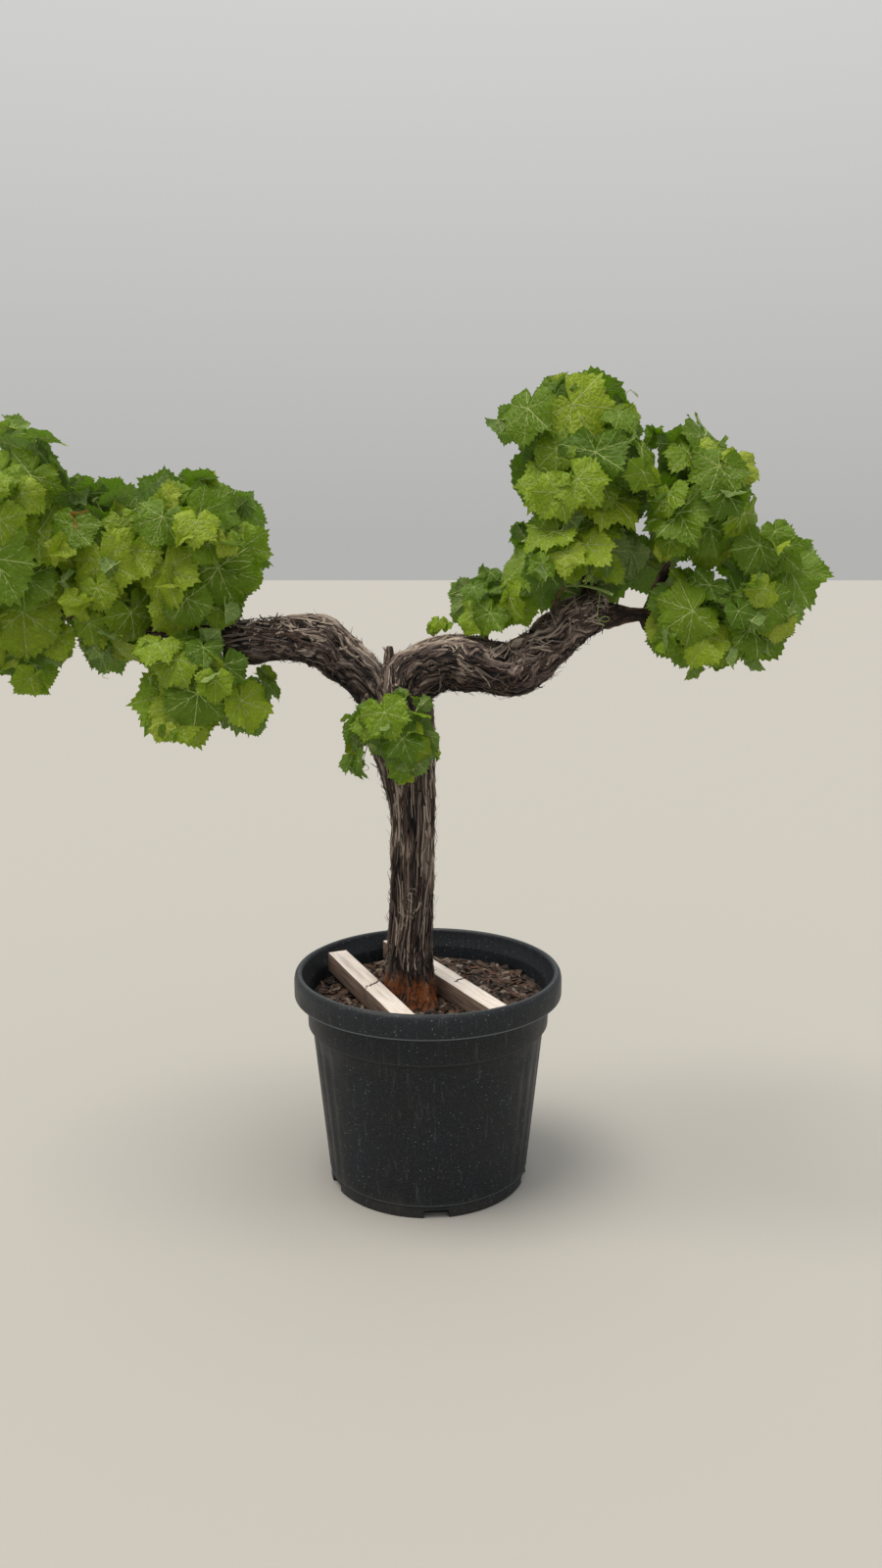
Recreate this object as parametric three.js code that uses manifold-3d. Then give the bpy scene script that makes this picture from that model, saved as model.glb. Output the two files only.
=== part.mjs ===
// A potted grapevine: an old bare trunk and two gnarled arms with crowns of leaves, in a rolled-rim pot.
// Millimetres, +Z up. The origin is the middle of the pot's flat underside.
// +X runs towards the long right arm, and -Y faces the viewer.
import * as THREE from "three";
import { mergeVertices } from "three/addons/utils/BufferGeometryUtils.js";
import Module from "manifold-3d";

const wasm = await Module();
wasm.setup();

// Gap that two touching pieces keep
const CLEAR = 0.3;

// Container: radii are outside, heights are above the floor
const POT = {
  height: 486,
  rimRadius: 298,
  rimMouth: 278,
  lipHeight: 432,
  bandRadius: 270,
  stepHeight: 365,
  bodyRadius: 259,
  footRadius: 225.5,
  skirtRadius: 223,
  skirtHeight: 27,
  wall: 5,
  floor: 6,
  channelRadius: 172,
  channelSlope: 4,
  stepSlope: 4,
  bandDraft: 2,
  lipInset: 4,
  lipRound: 10,
  crestFall: 12,
  crestInset: 10,
  mouthEdge: 2,
  throatRise: 16,
  throatStep: 8,
  sides: 36,
};
const NOTCH = { count: 5, first: 5, width: 53, height: 18, inner: 192, beyond: 20 };

// Mulch: flat under the battens, rising to the wall
const SOIL = { level: 415, flatRadius: 120, wallLevel: 424 };

// Two square battens lying across the mulch, either side of the trunk: the far ends lie a little higher
const BATTEN = { size: 45, chamfer: 2.5 };
const BATTENS = [
  { name: "batten_left", turn: 25.5, offset: -138.7, near: -203, far: 207, rise: 22 },
  { name: "batten_right", turn: 30.5, offset: 39.5, near: -242, far: 250, rise: 15 },
];

// The long right arm, split where it sags and turns up
const RIGHT_ARM = {
  path: [
    [-88, -30, 1146],
    [-30, -30, 1163],
    [20, -28, 1168],
    [75, -26, 1169],
    [130, -27, 1161],
    [184, -30, 1154],
    [226, -32, 1181],
    [257, -35, 1210],
    [286, -36, 1236],
    [312, -36, 1258],
    [348, -36, 1273],
  ],
  radii: [42, 47, 52, 57, 55, 58, 55, 50, 49, 46, 38],
  sides: 12,
  knobs: 0.06,
  seed: 8,
};
const BEND = 0.5;

// Limbs: centre lines as x, y, z, with the radius at each point
const LIMBS = {
  trunk: {
    path: [
      [-38, -30, SOIL.level - 10],
      [-39, -30, 452],
      [-40, -30, 512],
      [-35, -31, 691],
      [-34, -32, 847],
      [-45, -32, 950],
      [-62, -31, 1050],
      [-72, -30, 1115],
      [-76, -30, 1152],
    ],
    radii: [60, 52, 48, 47.5, 49.5, 59, 73, 68, 44],
    sides: 14,
    rings: 13,
    knobs: 0.05,
    seed: 3,
  },
  left_arm: {
    path: [
      [-66, -30, 1086],
      [-128, -31, 1136],
      [-180, -34, 1183],
      [-228, -36, 1216],
      [-290, -34, 1220],
      [-358, -38, 1217],
      [-426, -42, 1216],
    ],
    radii: [50, 45, 45, 49, 46, 46, 40],
    sides: 12,
    rings: 14,
    knobs: 0.06,
    seed: 5,
    cutBy: ["trunk"],
  },
  right_arm_inner: { ...RIGHT_ARM, from: 0, to: BEND, rings: 12, cutBy: ["trunk", "left_arm"] },
  right_arm_outer: { ...RIGHT_ARM, from: BEND, to: 1, rings: 10, cutBy: ["right_arm_inner"] },
  right_cane: {
    path: [
      [340, -36, 1266],
      [376, -36, 1269],
      [405, -34, 1270],
      [440, -32, 1271],
      [500, -30, 1274],
      [560, -28, 1282],
      [606, -26, 1296],
    ],
    radii: [30, 26, 20, 15, 13, 11, 9],
    sides: 8,
    rings: 10,
    knobs: 0.08,
    seed: 21,
    cutBy: ["right_arm_outer"],
  },
  fork_stub: {
    path: [
      [-80, -34, 1140],
      [-81, -35, 1172],
      [-78, -36, 1205],
    ],
    radii: [15, 11, 6],
    sides: 7,
    rings: 4,
    knobs: 0.12,
    seed: 34,
    cutBy: ["trunk", "left_arm", "right_arm_inner"],
  },
  cane_stub: {
    path: [
      [452, -34, 1266],
      [456, -36, 1249],
      [462, -37, 1237],
    ],
    radii: [9, 8, 7],
    sides: 6,
    rings: 2,
    knobs: 0.1,
    seed: 36,
    cutBy: ["right_cane"],
  },
  left_cane: {
    path: [
      [-412, -40, 1220],
      [-468, -38, 1232],
      [-545, -32, 1236],
      [-640, -28, 1242],
      [-730, -26, 1262],
      [-782, -26, 1290],
    ],
    radii: [22, 18, 15, 13, 11, 9],
    sides: 7,
    rings: 9,
    knobs: 0.08,
    seed: 55,
    cutBy: ["left_arm"],
  },
  left_spur_middle: {
    path: [
      [-600, -30, 1238],
      [-618, -18, 1262],
      [-634, -10, 1286],
    ],
    radii: [10, 9, 8],
    sides: 6,
    rings: 2,
    knobs: 0.08,
    seed: 56,
    cutBy: ["left_cane"],
  },
  left_spur_inner: {
    path: [
      [-404, -38, 1236],
      [-416, -40, 1270],
      [-430, -42, 1298],
    ],
    radii: [15, 12, 9],
    sides: 6,
    rings: 2,
    knobs: 0.08,
    seed: 57,
    cutBy: ["left_arm"],
  },
  left_spur_lower: {
    path: [
      [-392, -52, 1198],
      [-402, -72, 1168],
      [-414, -84, 1146],
    ],
    radii: [14, 11, 9],
    sides: 6,
    rings: 2,
    knobs: 0.08,
    seed: 58,
    cutBy: ["left_arm"],
  },
  right_spur_low: {
    path: [
      [118, -16, 1196],
      [120, -4, 1222],
      [124, 2, 1240],
    ],
    radii: [12, 10, 8],
    sides: 6,
    rings: 2,
    knobs: 0.08,
    seed: 59,
    cutBy: ["right_arm_inner"],
  },
  right_spur_middle: {
    path: [
      [268, -24, 1240],
      [268, -12, 1272],
      [274, -4, 1298],
    ],
    radii: [14, 11, 9],
    sides: 6,
    rings: 2,
    knobs: 0.08,
    seed: 60,
    cutBy: ["right_arm_outer"],
  },
  right_spur_tall: {
    path: [
      [334, -26, 1290],
      [340, -2, 1338],
      [332, 10, 1392],
      [320, 8, 1440],
    ],
    radii: [17, 14, 11, 9],
    sides: 7,
    rings: 4,
    knobs: 0.08,
    seed: 61,
    cutBy: ["right_arm_outer", "right_cane"],
  },
  right_spur_upper: {
    path: [
      [462, -30, 1276],
      [478, -24, 1320],
      [500, -20, 1362],
      [522, -20, 1400],
    ],
    radii: [11, 10, 9, 8],
    sides: 6,
    rings: 4,
    knobs: 0.08,
    seed: 62,
    cutBy: ["right_cane"],
  },
  right_spur_lower: {
    path: [
      [520, -30, 1273],
      [534, -42, 1260],
      [550, -50, 1252],
    ],
    radii: [9, 8, 8],
    sides: 6,
    rings: 2,
    knobs: 0.08,
    seed: 63,
    cutBy: ["right_cane"],
  },
};

// Width of a full-grown leaf
const FULL_LEAF = 128;

// Crowns of leaves: the middle and half sizes of each one's space, the limb it grows from,
// how many shoots it has, how much they arch up and how wide its leaves are
const CROWNS = [
  crownAt("foliage_right_tall", "right_spur_tall", [304, -30, 1592], [172, 172, 196], 6, 0.35, 132),
  crownAt("foliage_right_middle", "right_spur_middle", [330, -48, 1366], [210, 176, 134], 6, 0.2, 130),
  crownAt("foliage_right_upper", "right_spur_upper", [560, -30, 1516], [120, 168, 160], 5, 0.3, 130),
  crownAt("foliage_right_outer", "right_cane", [716, -30, 1342], [114, 160, 168], 5, 0.15, 128),
  crownAt("foliage_right_lower", "right_spur_lower", [586, -36, 1262], [146, 160, 104], 6, -0.1, 124),
  crownAt("foliage_right_spur", "right_spur_low", [132, 4, 1290], [100, 112, 80], 3, 0.2, 94),
  crownAt("foliage_left_outer", "left_cane", [-858, -30, 1404], [146, 176, 306], 8, 0.25, 136),
  crownAt("foliage_left_middle", "left_spur_middle", [-664, -20, 1352], [124, 166, 222], 6, 0.2, 132),
  crownAt("foliage_left_inner", "left_spur_inner", [-494, -34, 1400], [178, 196, 182], 7, 0.25, 136),
  crownAt("foliage_left_lower", "left_spur_lower", [-458, -70, 1130], [164, 156, 142], 6, -0.3, 130),
  crownAt("foliage_trunk_tuft", "trunk", [-84, -152, 1031], [114, 74, 102], 4, 0.1, 88, [-68, -99, 1052]),
  crownAt("foliage_bud", "right_arm_inner", [14, 8, 1245], [50, 50, 44], 1, 0.4, 44, [13, -6, 1208]),
];

// Reach of a leaf blade from its stalk in parts of its width, from the tip round to the notch
const BLADE_REACH = [0.66, 0.57, 0.53, 0.46, 0.1];
const BLADE = { thickness: 4, droop: 0.24, heart: 0.16, sag: 0.026, round: 0.62, skin: 3, twin: 0.36 };

// Growth of a crown's stem, its shoots and its leaf stalks
const STEM = { length: 0.85, tip: 7.5, sides: 4, share: 0.72 };
const SHOOT = { root: 5, tip: 4, sides: 3, rings: 3, inset: 0.42, tries: 14, apart: 14, samples: 8 };
const SPREAD = { height: 0.25, turn: 0.5, more: 0.15 };
const STALK = { radius: 2.2, tip: 1.9, shortest: 44, longest: 96, node: 46, first: 34, tries: 24 };
const STALK_LEAF = 120;
const FACING = new THREE.Vector3(0.6, 0.9, 0.5);
const GOLDEN_TURN = Math.PI * (3 - Math.sqrt(5));
const SPACE_POWER = 3;
const SPACE_EDGE = 0.95;
const BARK_MARGIN = 7;

// How a stalk sets off, which way its blade faces and which way the blade's tip hangs,
// as shares of the ways out of the crown, along the shoot, up or down and by chance
const SET_OFF = { out: 0.9, along: 0.5, up: 0.2 };
const FACE = { front: 0.5, up: 0.35, wild: 0.9 };
const HANG = { wild: 1.1, way: 0.45, down: 0.9 };

// A leaf near a shoot's tip is younger: smaller, on a shorter stalk
const YOUNG = { widest: 1.08, shrink: 0.5, least: 0.88, spread: 0.24, shorten: 0.4 };

// Where a bough's tip enters a crown, the crown's stem is a little thinner
const STEM_SHARE = 0.8;

const COLOURS = {
  pot: [0x2b2e31, 0.62],
  soil: [0x3a2a20, 0.95],
  batten: [0xb7a394, 0.8],
  bark: [0x6d5a4c, 0.9],
  leaf: [0x86b53a, 0.6],
};

const vec = (p) => new THREE.Vector3(...p);

// Stems, shoots and stalks are as much finer as the crown's leaves are smaller
function crownAt(name, bough, middle, half, shoots, rise, leaf, from) {
  return { name, bough, middle, half, shoots, rise, leaf, from, fine: leaf / FULL_LEAF };
}

function material(kind) {
  const [color, roughness] = COLOURS[kind];
  return new THREE.MeshStandardMaterial({ color, roughness, metalness: 0 });
}

// Every crown draws its own numbers, by its place in the list
const seedOf = (crown) => (CROWNS.indexOf(crown) + 1) * 1000;

// Seeded numbers from 0 to 1, the same on every run
function dice(seed) {
  let state = (seed * 2654435761) >>> 0;
  return () => {
    state = (state + 0x6d2b79f5) >>> 0;
    let mixed = Math.imul(state ^ (state >>> 15), state | 1);
    mixed = (mixed + Math.imul(mixed ^ (mixed >>> 7), mixed | 61)) ^ mixed;
    return ((mixed ^ (mixed >>> 14)) >>> 0) / 4294967296;
  };
}

// A closed geometry as a solid that can be joined and cut
function solidOf(geometry) {
  const bare = geometry.clone();
  bare.deleteAttribute("normal");
  bare.deleteAttribute("uv");
  const merged = mergeVertices(bare, 1e-3);
  return new wasm.Manifold(
    new wasm.Mesh({
      numProp: 3,
      vertProperties: merged.attributes.position.array,
      triVerts: new Uint32Array(merged.index.array),
    }),
  );
}

function geometryOf(solid) {
  const mesh = solid.getMesh();
  const geometry = new THREE.BufferGeometry();
  geometry.setAttribute("position", new THREE.BufferAttribute(mesh.vertProperties, 3));
  geometry.setIndex(new THREE.BufferAttribute(mesh.triVerts, 1));
  geometry.computeVertexNormals();
  return geometry;
}

// The biggest body of a solid: a loose scrap is dropped
function largest(solid) {
  return solid.decompose().sort((a, b) => b.volume() - a.volume())[0];
}

// A vector square to the given one, turned round it by an angle
function square(along, angle) {
  const rough = Math.abs(along.z) > 0.9 ? new THREE.Vector3(1, 0, 0) : new THREE.Vector3(0, 0, 1);
  return rough.cross(along).normalize().applyAxisAngle(along, angle);
}

// Rings along a limb: centre, radius and two cross directions that are carried along without twist
function spine({ path, radii, rings, from = 0, to = 1 }) {
  const line = new THREE.CatmullRomCurve3(path.map(vec));
  const thick = new THREE.SplineCurve(radii.map((r, i) => new THREE.Vector2(i, r)));
  const found = [];
  let across = null;
  for (let i = 0; i <= rings; i++) {
    const share = THREE.MathUtils.lerp(from, to, i / rings);
    const along = line.getTangent(share);
    across = across ? across.clone().projectOnPlane(along).normalize() : square(along, 0);
    const side = new THREE.Vector3().crossVectors(across, along);
    const radius = thick.getPoint(share).y;
    found.push({ centre: line.getPoint(share), radius, share, along, across, side });
  }
  return found;
}

// A tapered closed tube: a cylinder whose rings are bent along a centre line, with low knobs.
// Where grow is set it stands that far proud all round and at both ends.
function tube(limb, grow = 0) {
  const { sides, rings, knobs = 0, seed = 0 } = limb;
  const stations = spine(limb);
  const shape = new THREE.CylinderGeometry(1, 1, 1, sides, rings);
  const spots = shape.attributes.position;
  for (let i = 0; i < spots.count; i++) {
    const ring = Math.round((spots.getY(i) + 0.5) * rings);
    const { centre, radius, share, along, across, side } = stations[ring];
    const angle = Math.atan2(spots.getZ(i), spots.getX(i));
    const wave = Math.sin(2 * angle + seed + 11 * share) + 0.8 * Math.sin(3 * angle - seed + 7 * share);
    const out = Math.hypot(spots.getX(i), spots.getZ(i)) * (radius * (1 + knobs * wave) + grow);
    const end = ring === 0 ? -grow : ring === rings ? grow : 0;
    const spot = centre.clone().addScaledVector(along, end);
    spot.addScaledVector(across, out * Math.cos(angle)).addScaledVector(side, out * Math.sin(angle));
    spots.setXYZ(i, spot.x, spot.y, spot.z);
  }
  return solidOf(shape);
}

// Pot: a turned wall with a rolled rim, a step under the band, a skirt and a raised channel ring
function potOuter() {
  const { height, rimRadius, lipHeight, bandRadius, stepHeight } = POT;
  return [
    [0, 0],
    [POT.skirtRadius, 0],
    [POT.skirtRadius, POT.skirtHeight],
    [POT.footRadius, POT.skirtHeight + 1],
    [POT.bodyRadius, stepHeight - POT.stepSlope],
    [bandRadius - POT.bandDraft, stepHeight],
    [bandRadius, lipHeight],
    [rimRadius - POT.lipInset, lipHeight],
    [rimRadius, lipHeight + POT.lipRound],
    [rimRadius, height - POT.crestFall],
    [rimRadius - POT.crestInset, height],
    [POT.rimMouth + POT.mouthEdge, height - POT.mouthEdge],
  ];
}

// Inner face from the mouth down to the floor, moved in by a clearance for what fills it
function potInner(clear) {
  const { wall, floor, skirtHeight, channelRadius } = POT;
  return [
    [POT.bandRadius - wall - clear, POT.lipHeight + POT.throatRise],
    [POT.bodyRadius - wall - clear, POT.stepHeight - POT.throatStep],
    [POT.footRadius - wall - clear, skirtHeight + clear],
    [channelRadius + POT.channelSlope - clear, skirtHeight + clear],
    [channelRadius - clear, floor + clear],
    [0, floor + clear],
  ];
}

// Where the inner face stands at a height between its mouth and the channel ring
function innerRadiusAt(height, clear) {
  const [mouth, bend] = potInner(clear);
  return THREE.MathUtils.mapLinear(height, bend[1], mouth[1], bend[0], mouth[0]);
}

function turned(profile) {
  const points = profile.map(([r, z]) => new THREE.Vector2(r, z));
  return solidOf(new THREE.LatheGeometry(points, POT.sides).rotateX(Math.PI / 2));
}

function pot() {
  let made = turned([...potOuter(), ...potInner(0)]);
  const { count, first, width, height, inner, beyond } = NOTCH;
  const depth = POT.footRadius + beyond - inner;
  for (let i = 0; i < count; i++) {
    const box = new THREE.BoxGeometry(width, depth, 2 * height);
    box.translate(0, -(inner + depth / 2), 0);
    box.rotateZ(THREE.MathUtils.degToRad(first + (i * 360) / count));
    made = made.subtract(solidOf(box));
  }
  return made;
}

// A batten: a chamfered square drawn out along its length and laid on the mulch, its far end raised
function batten({ turn, offset, near, far, rise }, grow = 0) {
  const length = far - near;
  const half = BATTEN.size / 2 + grow;
  const edge = half - BATTEN.chamfer;
  const corners = [[half, -edge], [half, edge], [edge, half], [-edge, half]];
  const round = [...corners, ...corners.map(([x, y]) => [-x, -y])];
  const outline = new THREE.Shape(round.map(([x, y]) => new THREE.Vector2(x, y)));
  const bar = new THREE.ExtrudeGeometry(outline, { depth: length + 2 * grow, bevelEnabled: false });
  bar.translate(offset, BATTEN.size / 2, -length - grow);
  bar.rotateX(Math.PI / 2 + Math.asin(rise / length));
  bar.translate(0, near, 0);
  bar.rotateZ(THREE.MathUtils.degToRad(turn));
  bar.translate(0, 0, SOIL.level + CLEAR);
  return solidOf(bar);
}

// Mulch: everything inside the pot below its surface, with the battens' beds pressed in
function soil() {
  const top = [
    [innerRadiusAt(SOIL.wallLevel, CLEAR), SOIL.wallLevel],
    [SOIL.flatRadius, SOIL.level],
    [0, SOIL.level],
  ];
  const below = potInner(CLEAR).slice(1).reverse();
  let made = turned([...below, ...top]);
  for (const bar of BATTENS) made = made.subtract(batten(bar, CLEAR));
  return made;
}

// What lies below the mulch, for the flat cut under the trunk
function ground() {
  const box = new THREE.BoxGeometry(2 * POT.rimRadius, 2 * POT.rimRadius, POT.height);
  return solidOf(box.translate(0, 0, SOIL.level + CLEAR - POT.height / 2));
}

// Every limb, each cut clear of the ones that it grows from
function limbSolids() {
  const solids = {};
  for (const [name, limb] of Object.entries(LIMBS)) {
    let made = name === "trunk" ? tube(limb).subtract(ground()) : tube(limb);
    for (const other of limb.cutBy ?? []) made = made.subtract(tube(LIMBS[other], CLEAR));
    solids[name] = largest(made);
  }
  return solids;
}

// Straight pieces of the limbs' centre lines, for measuring how far a point is from the bark
const barkPieces = Object.values(LIMBS).flatMap((limb) => {
  const stations = spine(limb);
  return stations.slice(1).map((next, i) => ({
    line: new THREE.Line3(stations[i].centre, next.centre),
    radius: Math.max(stations[i].radius, next.radius),
  }));
});

function clearOfBark(point, margin) {
  const near = new THREE.Vector3();
  return barkPieces.every(({ line, radius }) => {
    line.closestPointToPoint(point, true, near);
    return near.distanceTo(point) > radius + margin;
  });
}

// How far out in its space a point lies: 1 is the edge
function depthIn(crown, point) {
  const [x, y, z] = ["x", "y", "z"].map((axis, i) => Math.abs(point[axis] - crown.middle[i]) / crown.half[i]);
  return (x ** SPACE_POWER + y ** SPACE_POWER + z ** SPACE_POWER) ** (1 / SPACE_POWER);
}

// Where a crown's stem starts, and the way it leaves its bough
function rootOf(crown) {
  const stations = spine(LIMBS[crown.bough]);
  const tip = stations[stations.length - 1];
  const radius = tip.radius * STEM_SHARE;
  if (!crown.from) return { start: tip.centre.clone(), along: tip.along.clone(), radius };
  const start = vec(crown.from);
  return { start, along: vec(crown.middle).sub(start).normalize(), radius: STEM.tip * crown.fine };
}

function shootBetween(start, bend, end, thick, thin) {
  const line = new THREE.QuadraticBezierCurve3(start, bend, end);
  return { line, path: line.getPoints(SHOOT.rings).map((p) => p.toArray()), radii: [thick, thin] };
}

// Shortest distance between two straight pieces, by sampling one of them
function gapBetween(shoot, other) {
  let least = Infinity;
  const spots = other.line.getPoints(SHOOT.samples);
  for (const point of shoot.line.getPoints(SHOOT.samples))
    for (const spot of spots) least = Math.min(least, point.distanceTo(spot));
  return least;
}

// A try at a shoot: it leaves the stem and arches to its own place near the edge of the crown's space
function shootTry(crown, stem, index, wander, roll) {
  const order = (index + 0.5) / crown.shoots;
  const height = 1 - 2 * order + (roll() - 0.5) * SPREAD.height;
  const turn = index * GOLDEN_TURN + seedOf(crown) + (roll() - 0.5) * wander;
  const level = Math.sqrt(Math.max(0, 1 - height * height));
  const way = new THREE.Vector3(level * Math.cos(turn), level * Math.sin(turn), height);
  const end = way.multiply(vec(crown.half).addScalar(-SHOOT.inset * crown.leaf)).add(vec(crown.middle));
  const root = stem.line.getPoint(1 - STEM.share * order);
  const knee = root.clone().lerp(end, 0.5);
  knee.z += crown.rise * root.distanceTo(end) * 0.5;
  return shootBetween(root, knee, end, SHOOT.root * crown.fine, SHOOT.tip * crown.fine);
}

function shootFits(crown, shoot, others) {
  const spots = shoot.line.getPoints(SHOOT.samples).slice(3);
  const free = spots.every((spot) => clearOfBark(spot, BARK_MARGIN) && depthIn(crown, spot) < SPACE_EDGE);
  return free && !others.some((other) => gapBetween(shoot, other) < SHOOT.apart);
}

// A crown's stem and the shoots that fan out of it, spread evenly round its space
function shootsOf(crown, others) {
  const { start, along, radius } = rootOf(crown);
  const hub = start.clone().lerp(vec(crown.middle), STEM.length);
  const bend = start.clone().addScaledVector(along, 0.5 * start.distanceTo(hub));
  const stemTip = STEM.tip * crown.fine;
  const stem = shootBetween(start, bend, hub, Math.max(radius, stemTip), stemTip);
  const grown = [stem];
  for (let i = 0; i < crown.shoots; i++) {
    const roll = dice(seedOf(crown) + i);
    for (let tries = 0; tries < SHOOT.tries; tries++) {
      const shoot = shootTry(crown, stem, i, SPREAD.turn + SPREAD.more * tries, roll);
      if (!shootFits(crown, shoot, others)) continue;
      grown.push(shoot);
      break;
    }
  }
  return grown;
}

// The upper face of a blade as a fan of triangles round its stalk, moved along the way it faces
function fanOf(leaf, shift) {
  const rim = rimOf(leaf).map((spot) => spot.addScaledVector(leaf.face, shift));
  const top = leaf.stalkEnd.clone().addScaledVector(leaf.face, shift);
  return rim.map((spot, i) => [top, spot, rim[(i + 1) % rim.length]]);
}

// Whether any straight piece, given by its two ends, passes through any triangle
function strikes(pieces, triangles) {
  const ray = new THREE.Ray();
  const hit = new THREE.Vector3();
  return pieces.some(([from, to]) => {
    ray.set(from, to.clone().sub(from).normalize());
    const length = from.distanceTo(to);
    return triangles.some((t) => ray.intersectTriangle(...t, false, hit) && from.distanceTo(hit) < length);
  });
}

// What a leaf's place is tested by: its edges, its stalk and a skin either side of its blade
function withSkins(leaf) {
  const fan = fanOf(leaf, 0);
  const edges = fan.flatMap(([top, spot, next]) => [[top, spot], [spot, next]]);
  const stalk = [leaf.node.clone().lerp(leaf.stalkEnd, 0.15), leaf.node.clone().lerp(leaf.stalkEnd, 0.93)];
  return { ...leaf, edges, stalk, skins: [...fanOf(leaf, BLADE.skin), ...fanOf(leaf, -BLADE.skin)] };
}

function stalkStrikes(one, two) {
  const near = one.node.distanceTo(two.heart) < STALK.longest + two.width;
  return near && strikes([one.stalk], two.skins);
}

function crosses(one, two) {
  const apart = one.heart.distanceTo(two.heart);
  const round = BLADE.round * (one.width + two.width);
  if (apart < (BLADE.twin * (one.width + two.width)) / 2) return true;
  if (apart < round && (strikes(one.edges, two.skins) || strikes(two.edges, one.skins))) return true;
  return stalkStrikes(one, two) || stalkStrikes(two, one);
}

// A try at a leaf: its stalk leaves the shoot to one side and its blade faces out and up
function leafTry(crown, shoot, share, slot, roll) {
  const node = shoot.line.getPoint(share);
  const along = shoot.line.getTangent(share);
  const out = node.clone().sub(vec(crown.middle)).divide(vec(crown.half));
  const young = share * share;
  const width = crown.leaf * (YOUNG.widest - YOUNG.shrink * young) * (YOUNG.least + YOUNG.spread * roll());
  const long = THREE.MathUtils.lerp(STALK.shortest, STALK.longest, roll()) * (1 - YOUNG.shorten * young);
  const wild = () => new THREE.Vector3(roll() - 0.5, roll() - 0.5, roll() - 0.5);
  const way = square(along, slot * Math.PI + 2 * (roll() - 0.5));
  way.addScaledVector(out, SET_OFF.out).addScaledVector(along, SET_OFF.along).add(wild()).normalize();
  way.z += SET_OFF.up;
  const stalkEnd = node.clone().addScaledVector(way.normalize(), (long * width) / STALK_LEAF);
  const face = stalkEnd.clone().sub(vec(crown.middle)).divide(vec(crown.half)).multiply(FACING);
  face.y += FACE.front * Math.sign(face.y);
  face.z += FACE.up;
  face.addScaledVector(wild(), FACE.wild).normalize();
  const hang = wild().multiplyScalar(HANG.wild).addScaledVector(way, HANG.way);
  hang.z -= HANG.down;
  const tipward = hang.projectOnPlane(face).normalize();
  const heart = stalkEnd.clone().addScaledVector(tipward, BLADE.heart * width);
  return withSkins({ node, stalkEnd, face, tipward, width, heart, fine: crown.fine });
}

// The blade's rim as points, from the tip round by the right-hand side
function rimOf({ stalkEnd, face, tipward, width }) {
  const right = new THREE.Vector3().crossVectors(face, tipward);
  const count = 2 * (BLADE_REACH.length - 1);
  return Array.from({ length: count }, (_, i) => {
    const reach = BLADE_REACH[Math.min(i, count - i)] * width;
    const angle = (2 * Math.PI * i) / count;
    const spot = stalkEnd.clone().addScaledVector(tipward, reach * Math.cos(angle));
    spot.addScaledVector(right, reach * Math.sin(angle));
    return spot.addScaledVector(face, (-BLADE.droop * reach * reach) / width);
  });
}

function leafFits(crown, leaf, shoots, leaves) {
  const rim = rimOf(leaf);
  if (rim.some((spot) => depthIn(crown, spot) > 1)) return false;
  const along = [0.4, 0.7, 1].map((share) => leaf.node.clone().lerp(leaf.stalkEnd, share));
  if (![...rim, leaf.heart, ...along].every((spot) => clearOfBark(spot, BARK_MARGIN))) return false;
  const near = shoots.filter((piece) => piece[0].distanceTo(leaf.heart) < 2 * leaf.width);
  const free = near.filter((piece) => piece.every((end) => end.distanceTo(leaf.node) > STALK.first));
  return !strikes(free, leaf.skins) && !leaves.some((other) => crosses(leaf, other));
}

// The leaves of one shoot: one at each node on alternate sides and a young one at its tip
function leavesOf(crown, shoot, index, shoots, leaves) {
  const length = shoot.line.getLength();
  const count = Math.max(1, Math.floor((length - STALK.first) / STALK.node));
  const grown = [];
  for (let slot = 0; slot <= count; slot++) {
    const share = Math.min(0.98, (STALK.first + slot * STALK.node) / length);
    const roll = dice(seedOf(crown) + 100 + index * 40 + slot);
    for (let tries = 0; tries < STALK.tries; tries++) {
      const leaf = leafTry(crown, shoot, share, slot, roll);
      if (!leafFits(crown, leaf, shoots, [...leaves, ...grown])) continue;
      grown.push(leaf);
      break;
    }
  }
  return grown;
}

// A blade: a sphere of two rows, its middle ring moved out to the leaf's rim and its two poles
// brought together to the blade's thickness, the upper one over the stalk and the lower one nearer the tip,
// where it sags with the blade and so stays under the upper face
function bladeSolid(leaf) {
  const rim = rimOf(leaf);
  const shape = new THREE.SphereGeometry(1, rim.length, 2);
  const spots = shape.attributes.position;
  for (let i = 0; i < spots.count; i++) {
    const height = Math.round(spots.getY(i));
    const turn = Math.atan2(spots.getX(i), spots.getZ(i)) / (2 * Math.PI);
    const pole = height > 0 ? leaf.stalkEnd : leaf.heart;
    const spot = (height ? pole : rim[Math.round((turn + 1) * rim.length) % rim.length]).clone();
    const sag = height < 0 ? BLADE.sag * leaf.width : 0;
    spot.addScaledVector(leaf.face, (height * BLADE.thickness) / 2 - sag);
    spots.setXYZ(i, spot.x, spot.y, spot.z);
  }
  return solidOf(shape);
}

// A stalk runs from the middle of its shoot to just inside the blade
function stalkSolid({ node, stalkEnd, fine }) {
  const path = [node.toArray(), stalkEnd.toArray()];
  return tube({ path, radii: [STALK.radius * fine, STALK.tip * fine], sides: 3, rings: 1 });
}

// Straight pieces along the shoots' centre lines
function piecesOf(shoots) {
  return shoots.flatMap((shoot) => {
    const points = shoot.line.getPoints(4 * SHOOT.rings);
    return points.slice(1).map((point, i) => [points[i], point]);
  });
}

const shootSolids = (shoots) =>
  shoots.map((shoot, i) => tube({ ...shoot, sides: i ? SHOOT.sides : STEM.sides, rings: SHOOT.rings }));

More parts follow.
